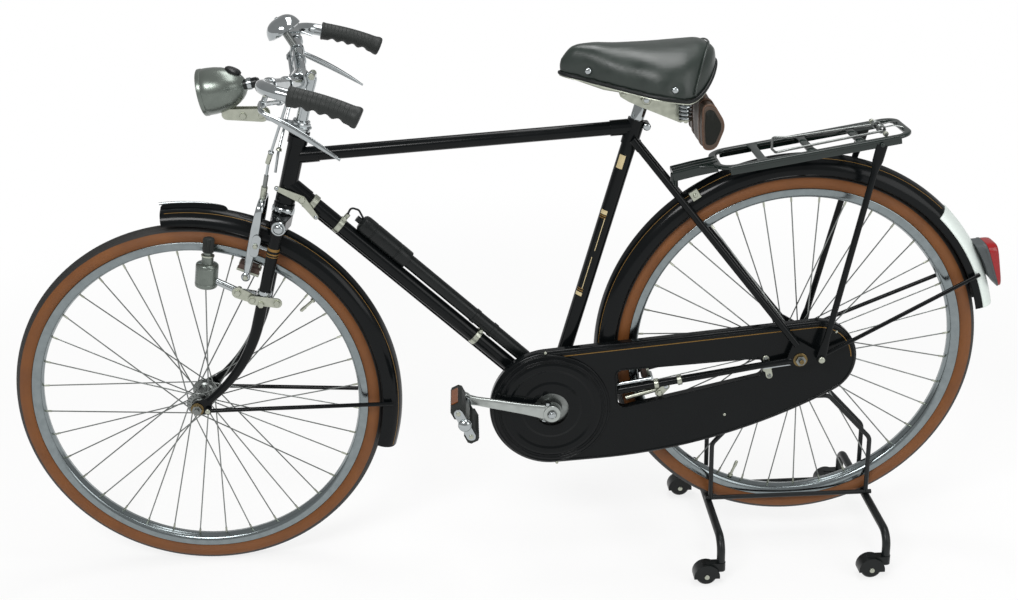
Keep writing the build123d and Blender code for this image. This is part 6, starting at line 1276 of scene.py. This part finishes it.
class ROADSTER_OT_rear_brake(bpy.types.Operator):
    """Rear brake: a stirrup over the chain stays, pads, clamps, the rod under the down tube, and the bell crank"""
    bl_idname = "roadster.rear_brake"
    bl_label = "Rear brake"

    def execute(self, context):
        wheel_base = np.linalg.norm(REAR_AXLE - FRONT_AXLE) / MM
        front, rear = np.array((696.0, 294.0, 26.7)), np.array((wheel_base - 17.0, TYRE_RADIUS, 66.0))

        def stay(share, side, over=0.0):
            """A point over a chain stay's axis, by its share of the way to the dropout."""
            u, z, y = front + (rear - front) * share
            return level(u, z + over, y * side)

        shares = np.linspace(0, 1, 2001)
        reach = front[:2] + (rear - front)[:2] * shares[:, None] - (wheel_base, TYRE_RADIUS)
        far = shares[np.argmin(np.abs(np.hypot(*reach.T) - PAD_LOW))]
        stirrup_length, stay_length, lift = 106.0, 484.3, 13.3
        near = far - stirrup_length / stay_length
        loop = [stay(far, 1, lift), stay(near, 1, lift), stay(near, -1, lift), stay(far, -1, lift)]
        bridge = (loop[1] + loop[2]) / 2
        rod = rounded([bridge, level(690, 250), level(640, 250), down_tube(75, -16.4),
                       down_tube(DOWN_LENGTH - 45, -16.4)], [12, 12, 12])
        made = [(swept(rounded(loop, [16, 16]), 4.0, 16, square=RISE), "chrome_plate"),
                (swept(rod, 2.0, 12), "stove_enamel"),
                (band(down_tube(DOWN_LENGTH - 57), DOWN, 14.6, 2.4, 12), "zinc_plate", CLOSED),
                (bar(level(822, 291, 34), level(898, 309, 38), 5.0, 16), "zinc_plate"),
                (slab(level, hull((886, 300), 8, (900, 312), 7), 38, 45), "zinc_plate"),
                (hexagon(level(886, 300, 45), LEFT, 5.5, 4), "zinc_plate"),
                (stud(level(900, 312, 45), LEFT, 4.5, 3), "chrome_plate")]
        along = unit(stay(1, 1) - stay(0, 1))
        for share in (0.42, 0.52):
            made.append((band(stay(share, 1), along, 8.2, 2.0, 9), "zinc_plate", CLOSED))
        for side in SIDES:
            foot = stay(far, side, lift)
            inner = foot + MM * (PAD_OUT * side * LEFT) - LEFT * foot[1]
            gap = foot - REAR_AXLE
            made.append((bar(foot, inner, 4.0, 16), "chrome_plate"))
            made += pad(REAR_AXLE, np.degrees(np.arctan2(gap @ BACK, gap @ RISE)), side)
        made += [(slab(level, hull((249, 742.5), 7.5, (270, 707), 5), 19, 22), "zinc_plate"),
                 (slab(level, hull((249, 742.5), 7.5, (206, 768), 4.5), 19.2, 22.2), "zinc_plate"),
                 (bar(level(249, 742.5, 12), level(249, 742.5, 24), 4.5, 16), "zinc_plate"),
                 (hexagon(level(249, 742.5, 22.2), LEFT, 6.5, 4), "zinc_plate"),
                 (stud(level(270, 707, 22), LEFT, 3.6, 2.4), "chrome_plate"),
                 (stud(level(206, 768, 22.2), LEFT, 3.6, 2.4), "chrome_plate")]
        piece("rear_brake_rods", made, "frame", ["rear_brake"], 40)
        return {"FINISHED"}


# Chain case trim, cranks, pedals and castor pins; the case's radii and its outer face are in millimetres
CASE_FRONT = 119
CASE_REAR = 78
CASE_BOW = 1088.5
CASE_FACE = 54.0


def case_line(inset):
    """The chain case's outline moved in: front round, flat foot, long bow and rear round, at the outer face."""
    top = np.radians(91.66)
    front, foot = np.linspace(top, 1.5 * np.pi, 40), np.radians(np.linspace(0, 25.31, 30))
    rear = np.linspace(np.radians(-64.69), top, 40)
    bow = CASE_BOW - inset
    return np.concatenate([
        np.stack([BB_BACK + (CASE_FRONT - inset) * np.cos(front), BB_RISE + (CASE_FRONT - inset) * np.sin(front)], 1),
        np.stack([758 + bow * np.sin(foot), 1260.5 - bow * np.cos(foot)], 1),
        np.stack([1190 + (CASE_REAR - inset) * np.cos(rear), 347 + (CASE_REAR - inset) * np.sin(rear)], 1)])


class ROADSTER_OT_case_trim(bpy.types.Operator):
    """Pressed bead, slot lip, gold line, clip and screws of the chain case"""
    bl_idname = "roadster.case_trim"
    bl_label = "Chain case trim"

    def execute(self, context):
        bead, stripe = case_line(6.5), case_line(12.0)
        corners = [level(*spot, CASE_FACE) for spot in ((803, 360.5), (1087, 360.5), (1087, 322.5), (803, 277))]
        start = (corners[0] + corners[1]) / 2
        lip = rounded([start, *corners[1:], corners[0], start], [14, 14, 14, 14], 8)[:-1]
        line = level(*np.concatenate([stripe[-24:], stripe[:1]]).T, CASE_FACE + 0.1)
        made = [(swept(level(*bead.T, CASE_FACE - 0.6), 2.2, 12, loop=True), "stove_enamel", CLOSED),
                (swept(lip, 1.8, 10, loop=True), "stove_enamel", CLOSED), (swept(line, 0.9, 8), "gold_lining")]
        turn = np.linspace(0, 2 * np.pi, 120, endpoint=False)
        for radius, thick, out in ((111.0, 2.4, 55.4), (103.5, 1.6, 58.2), (98.5, 1.2, 58.4)):
            path = level(BB_BACK + radius * np.cos(turn), BB_RISE + radius * np.sin(turn), out + 0 * turn)
            made.append((swept(path, thick, 10, loop=True), "stove_enamel", CLOSED))
        piece("chain_case_bead", made, "frame")
        plate = hull((1092, 358), 6.5, (1098, 322), 6.5)
        clip = [(slab(level, plate, 54.4, 56.6), "zinc_plate"),
                (bar(level(1086, 340, 59), level(1140, 344, 60), 2.4, 12), "chrome_plate"),
                (slab(level, hull((1090, 337), 5, (1100, 343), 5), 56, 61), "zinc_plate")]
        for spot in ((1092, 358), (1098, 322)):
            clip.append((stud(level(*spot, 56.6), LEFT, 4.0, 2.4), "drawn_steel"))
        for spot in ((672, 408.4), (678, 173.6), (1228, 400), (1010, 246)):
            clip.append((stud(level(*spot, 53.2), LEFT, 3.0, 2.4), "zinc_plate"))
        piece("chain_case_clip", clip, "frame")
        return {"FINISHED"}


CRANK_LENGTH = 170.0
CRANK_TURN = np.radians(15.5)
CRANK_AHEAD, CRANK_OVER = [np.cos(CRANK_TURN) * one + np.sin(CRANK_TURN) * two
                           for one, two in ((-BACK, RISE), (RISE, BACK))]
PEDAL_TURN = np.radians(68.0)
PEDAL_OUT = -np.cos(PEDAL_TURN) * BACK + np.sin(PEDAL_TURN) * RISE
PEDAL_OVER = np.sin(PEDAL_TURN) * BACK + np.cos(PEDAL_TURN) * RISE


class ROADSTER_OT_cranks(bpy.types.Operator):
    """Forged cranks with bosses, cotters and nuts, and the pedals with their blocks, end plates and reflectors"""
    bl_idname = "roadster.cranks"
    bl_label = "Cranks and pedals"

    def execute(self, context):
        arms = [(bar(BB - MM * 80 * LEFT, BB + MM * 80 * LEFT, 8.5, 28), "drawn_steel")]
        for side, name in zip(SIDES, ("left", "right")):
            arm = axes(BB, CRANK_AHEAD * side, CRANK_OVER * side, LEFT * side)
            eye = arm(CRANK_LENGTH)
            share = np.linspace(0, 1, 30)
            bar_line = arm(8 + 154 * share, 0 * share, 73 + 0 * share)
            arms += [(swept(bar_line, 1.0, 24, wide=np.interp(share, (0, 0.14, 0.3, 0.9, 1), (15, 13, 11.2, 8.4, 10)),
                            tall=6.0, square=LEFT, boxy=0.6), "forged_alloy"),
                     (turned(arm(0, 0, 66), LEFT * side, [(0, 0), (0, 16), (1.2, 17), (12.8, 17), (14, 16), (14, 9.6),
                                                          (13, 9), (13, 0)], 48), "forged_alloy"),
                     (turned(eye + MM * 66 * side * LEFT, LEFT * side, [(0, 0), (0, 11.5), (1.2, 12.5), (12.8, 12.5),
                                                                        (14, 11.5), (14, 0)], 40), "forged_alloy"),
                     (hexagon(arm(0, 0, 79), LEFT * side, 8.6, 5), "chrome_plate"),
                     (stud(arm(0, 0, 84), LEFT * side, 5.4, 2.5), "chrome_plate"),
                     (bar(arm(12, -19, 73), arm(12, 19, 73), 4.4, 16), "drawn_steel"),
                     (hexagon(arm(12, 16, 73), CRANK_OVER * side, 6.0, 5), "chrome_plate"),
                     (stud(arm(12, -17, 73), -CRANK_OVER * side, 5.0, 3), "chrome_plate"),
                     (bar(eye + MM * 66 * side * LEFT, eye + MM * 182 * side * LEFT, 5.0, 20), "drawn_steel")]
            pedal = axes(eye, PEDAL_OUT, PEDAL_OVER, LEFT * side)
            block = np.array([(12, -7), (12, 7), (7, 12), (-9, 12), (-12, 8), (-12, -8), (-9, -12), (7, -12)])
            rubbers = []
            cage = [(turned(pedal(0, 0, 88), LEFT * side, [(0, 5.3), (0, 8), (3, 9), (95, 9), (95, 5.3)], 28),
                     "drawn_steel", CLOSED),
                    (turned(pedal(0, 0, 186), LEFT * side, [(0, 0), (0, 11.4), (1, 12), (2.4, 11.8), (4.6, 9.8),
                                                            (6.6, 6.4), (7.8, 2.6), (8, 0)], 40), "chrome_plate")]
            for low in (88.0, 183.0):
                cage += [(slab(pedal, hull((26, 0), 8.5, (-26, 0), 8.5), low, low + 3.0), "chrome_plate"),
                         (turned(pedal(0, 0, low), LEFT * side, [(0, 0), (0, 12), (0.6, 12.6), (2.4, 12.6), (3, 12),
                                                                 (3, 0)], 36), "chrome_plate")]
            for step in SIDES:
                rows = np.concatenate([[91], np.arange(91, 184, 4.6), [183]])
                notch = np.where(np.arange(len(rows)) % 2, 1.0, 0.955)
                notch[[0, -1]] = 0
                spots = block[None] * (step, 1) * notch[:, None, None] + (28.0 * step, 0)
                rubbers.append((pedal(spots[..., 0], spots[..., 1], rows[:, None] + 0 * spots[..., 0]),
                                "moulded_rubber"))
                lens = axes(pedal(28 * step + 11.6 * step, 0, 137), LEFT * side, PEDAL_OVER, PEDAL_OUT * step)
                rubbers.append((slab(lens, [(-30, -6.5), (30, -6.5), (30, 6.5), (-30, 6.5)], -1, 2.4, 0.8),
                                "amber_plastic"))
                for low, way in ((88.0, -1), (186.0, 1)):
                    cage.append((stud(pedal(26 * step, 0, low), LEFT * side * way, 4.4, 2.2), "zinc_plate"))
            piece(f"pedal_{name}_cage", cage, f"{name}_pedal", [f"pedal_{name}"], 35)
            piece(f"pedal_{name}_blocks", rubbers, f"{name}_pedal", [f"pedal_{name}_rubbers"], 30)
        piece("crank_arms_forged", arms, "cranks", ["crank_arms"], 35)
        return {"FINISHED"}


class ROADSTER_OT_castor_pins(bpy.types.Operator):
    """Domed ends of the castors' axle pins"""
    bl_idname = "roadster.castor_pins"
    bl_label = "Castor pins"

    def execute(self, context):
        for end in ("front", "rear"):
            for name in ("left", "right"):
                spot = middle(f"castor_wheel_{end}_{name}")
                pins = [(stud(spot + MM * 13.6 * side * LEFT, LEFT * side, 5.0, 2.6), "zinc_plate") for side in SIDES]
                piece(f"castor_pins_{end}_{name}", pins, f"castor_{end}_{name}")
        return {"FINISHED"}


# Studio: the camera fitted to the photograph (yaw, pitch and roll in radians, place in metres from the front axle's
# x, lens in millimetres), the floor's half size and the lamps (name, place, size, power)
CAMERA_TURNS = -0.0236, -0.3716, -0.0284
CAMERA_PLACE = -0.5449, 2.4663, 1.4962
CAMERA_LENS = 48.95
FLOOR_HALF = 300
WORLD_LIGHT = 0.42
LAMPS = (("key", (1.2, 2.6, 2.9), (1.6, 0.8), 66.0), ("top", (-0.4, -0.2, 3.0), (2.6, 0.9), 44.0),
         ("fill", (-2.4, 2.0, 1.6), (1.6, 1.6), 20.0))


class ROADSTER_OT_studio(bpy.types.Operator):
    """Sets up the pale floor, the soft lamps and the camera"""
    bl_idname = "roadster.studio"
    bl_label = "Studio"

    def execute(self, context):
        scene = context.scene
        scene.view_settings.view_transform = "Standard"
        yaw, pitch, roll = CAMERA_TURNS
        ahead = np.array((np.sin(yaw) * np.cos(pitch), -np.cos(yaw) * np.cos(pitch), np.sin(pitch)))
        right = unit(np.cross(ahead, UP))
        over = np.cross(right, ahead)
        tilted = np.cos(roll) * right + np.sin(roll) * over
        turned_over = np.cos(roll) * over - np.sin(roll) * right
        place = np.eye(4)
        place[:3, :3] = np.stack([tilted, turned_over, -ahead], 1)
        place[:3, 3] = FRONT_AXLE[0] + CAMERA_PLACE[0], *CAMERA_PLACE[1:]
        lens = bpy.data.cameras.new("camera")
        lens.sensor_fit = "HORIZONTAL"
        lens.sensor_width = 36.0
        lens.lens = CAMERA_LENS
        camera = bpy.data.objects.new("camera", lens)
        camera.matrix_world = Matrix(place.tolist())
        scene.collection.objects.link(camera)
        scene.camera = camera

        tree, output = new_finish("floor_paper")
        paper = add(tree, "ShaderNodeTexNoise", {"Scale": 3.0, "Detail": 3.0,
                                                 "Vector": add(tree, "ShaderNodeTexCoord").outputs["Object"]})
        shade = add(tree, "ShaderNodeMix", {"Factor": paper.outputs["Fac"]}, data_type="RGBA")
        shade.inputs["A"].default_value = linear("#F4F4F3")
        shade.inputs["B"].default_value = linear("#F8F8F7")
        matte = add(tree, "ShaderNodeBsdfDiffuse", {"Color": shade.outputs["Result"]})
        glow = add(tree, "ShaderNodeEmission", {"Color": (1, 1, 1, 1), "Strength": 1.0})
        path = add(tree, "ShaderNodeLightPath")
        seen = add(tree, "ShaderNodeMath", {0: path.outputs["Is Camera Ray"], 1: path.outputs["Is Glossy Ray"]},
                   operation="MAXIMUM")
        seen = add(tree, "ShaderNodeMath", {0: seen.outputs[0], 1: path.outputs["Is Transmission Ray"]},
                   operation="MAXIMUM")
        place = add(tree, "ShaderNodeTexCoord").outputs["Object"]
        away = add(tree, "ShaderNodeVectorMath", {0: place}, operation="LENGTH").outputs["Value"]
        share = add(tree, "ShaderNodeMapRange", {"Value": away, "From Min": 1.0, "From Max": 2.6, "To Min": 0.78,
                                                 "To Max": 1.0}, interpolation_type="SMOOTHSTEP").outputs["Result"]
        part = add(tree, "ShaderNodeMath", {0: seen.outputs[0], 1: share}, operation="MULTIPLY")
        mix = add(tree, "ShaderNodeMixShader", {0: part.outputs[0], 1: matte.outputs[0], 2: glow.outputs[0]})
        tree.links.new(mix.outputs[0], output.inputs["Surface"])
        span = np.linspace(-FLOOR_HALF, FLOOR_HALF, 3)
        across, along = np.meshgrid(span, span, indexing="ij")
        ground = np.stack([across, along, np.zeros_like(across)], -1).reshape(-1, 3)
        mesh = bpy.data.meshes.new("floor")
        mesh.from_pydata(ground, [], [(0, 3, 4, 1), (1, 4, 5, 2), (3, 6, 7, 4), (4, 7, 8, 5)])
        mesh.materials.append(bpy.data.materials["floor_paper"])
        floor = bpy.data.objects.new("floor", mesh)
        scene.collection.objects.link(floor)

        world = bpy.data.worlds.new("studio")
        scene.world = world
        world.use_nodes = True
        world.node_tree.nodes["Background"].inputs["Color"].default_value = (1, 1, 1, 1)
        world.node_tree.nodes["Background"].inputs["Strength"].default_value = WORLD_LIGHT
        for name, spot, size, power in LAMPS:
            lamp = bpy.data.lights.new(name, "AREA")
            lamp.shape = "RECTANGLE"
            lamp.size, lamp.size_y = size
            lamp.energy = power
            holder = bpy.data.objects.new(name, lamp)
            aim = unit(np.array((0, 0, 0.5)) - np.array(spot))
            sideways = unit(np.cross(aim, UP))
            turn = np.eye(4)
            turn[:3, :3] = np.stack([sideways, np.cross(sideways, aim), -aim], 1)
            turn[:3, 3] = spot
            holder.matrix_world = Matrix(turn.tolist())
            scene.collection.objects.link(holder)
        return {"FINISHED"}


class RoadsterSizes(bpy.types.PropertyGroup):
    """Sizes that can be changed before the pieces are made."""
    tyre_width: bpy.props.FloatProperty(name="Tyre width", description="Width of a tyre's round section", default=0.038,
                                        unit="LENGTH")
    spoke_width: bpy.props.FloatProperty(name="Spoke width", description="Thickness of a spoke's wire", default=0.0026,
                                         unit="LENGTH")
    lining_width: bpy.props.FloatProperty(name="Lining width", description="Width of a painted gold line",
                                          default=0.001, unit="LENGTH")


def panel_colour(name, description, finish_name=None, hex_colour=None):
    """A colour property, whose default is a finish's first colour or a hex value."""
    return bpy.props.FloatVectorProperty(name=name, description=description, subtype="COLOR", size=3, min=0.0, max=1.0,
                                         default=linear(hex_colour or FINISHES[finish_name][0])[:3])


class RoadsterColours(bpy.types.PropertyGroup):
    """Colours that can be changed before the finishes are made."""
    enamel: panel_colour("Enamel", "Stove enamel of frame, mudguards and chain case", "stove_enamel")
    rack: panel_colour("Rack", "Paint of the rack", "rack_enamel")
    saddle: panel_colour("Saddle", "Vinyl of the saddle", "saddle_vinyl")
    bag: panel_colour("Tool bag", "Leather of the tool bag", "bag_leather")
    tail: panel_colour("Mudguard tail", "Pale paint of the rear mudguard's tail", "pale_paint")
    gold: panel_colour("Lining", "Gold of the lines and bands", "gold_lining")
    rubber: panel_colour("Rubber", "Rubber of grips and pedal blocks", "moulded_rubber")
    gum: panel_colour("Tyre wall", "Gum rubber of the tyre walls", hex_colour="#5F340B")


CLASSES = (RoadsterSizes, RoadsterColours, ROADSTER_OT_finishes, ROADSTER_OT_tyres, ROADSTER_OT_wheels,
           ROADSTER_OT_mudguards, ROADSTER_OT_handlebar, ROADSTER_OT_levers, ROADSTER_OT_headlamp,
           ROADSTER_OT_front_brake, ROADSTER_OT_dynamo, ROADSTER_OT_saddle, ROADSTER_OT_seat_frame,
           ROADSTER_OT_tool_bag, ROADSTER_OT_rack, ROADSTER_OT_rear_lamp, ROADSTER_OT_pump, ROADSTER_OT_frame_trim,
           ROADSTER_OT_rear_brake, ROADSTER_OT_case_trim, ROADSTER_OT_cranks, ROADSTER_OT_castor_pins,
           ROADSTER_OT_studio)
STEPS = ("finishes", "tyres", "wheels", "mudguards", "handlebar", "levers", "headlamp", "front_brake", "dynamo",
         "saddle", "seat_frame", "tool_bag", "rack", "rear_lamp", "pump", "frame_trim", "rear_brake", "case_trim",
         "cranks", "castor_pins", "studio")


class ROADSTER_PT_panel(bpy.types.Panel):
    """Lists the steps that dress the bicycle"""
    bl_idname = "ROADSTER_PT_panel"
    bl_label = "Roadster"
    bl_space_type = "VIEW_3D"
    bl_region_type = "UI"
    bl_category = "Roadster"

    def draw(self, context):
        for step in STEPS:
            self.layout.operator(f"roadster.{step}")


def register():
    """Registers the classes."""
    for cls in (*CLASSES, ROADSTER_PT_panel):
        bpy.utils.register_class(cls)
    bpy.types.Scene.roadster_sizes = bpy.props.PointerProperty(type=RoadsterSizes)
    bpy.types.Scene.roadster_colours = bpy.props.PointerProperty(type=RoadsterColours)


def unregister():
    """Removes the classes."""
    del bpy.types.Scene.roadster_sizes, bpy.types.Scene.roadster_colours
    for cls in reversed((*CLASSES, ROADSTER_PT_panel)):
        bpy.utils.unregister_class(cls)


def main():
    """Registers the add-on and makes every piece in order."""
    register()
    for step in STEPS:
        getattr(bpy.ops.roadster, step)()


if __name__ == "__main__":
    main()
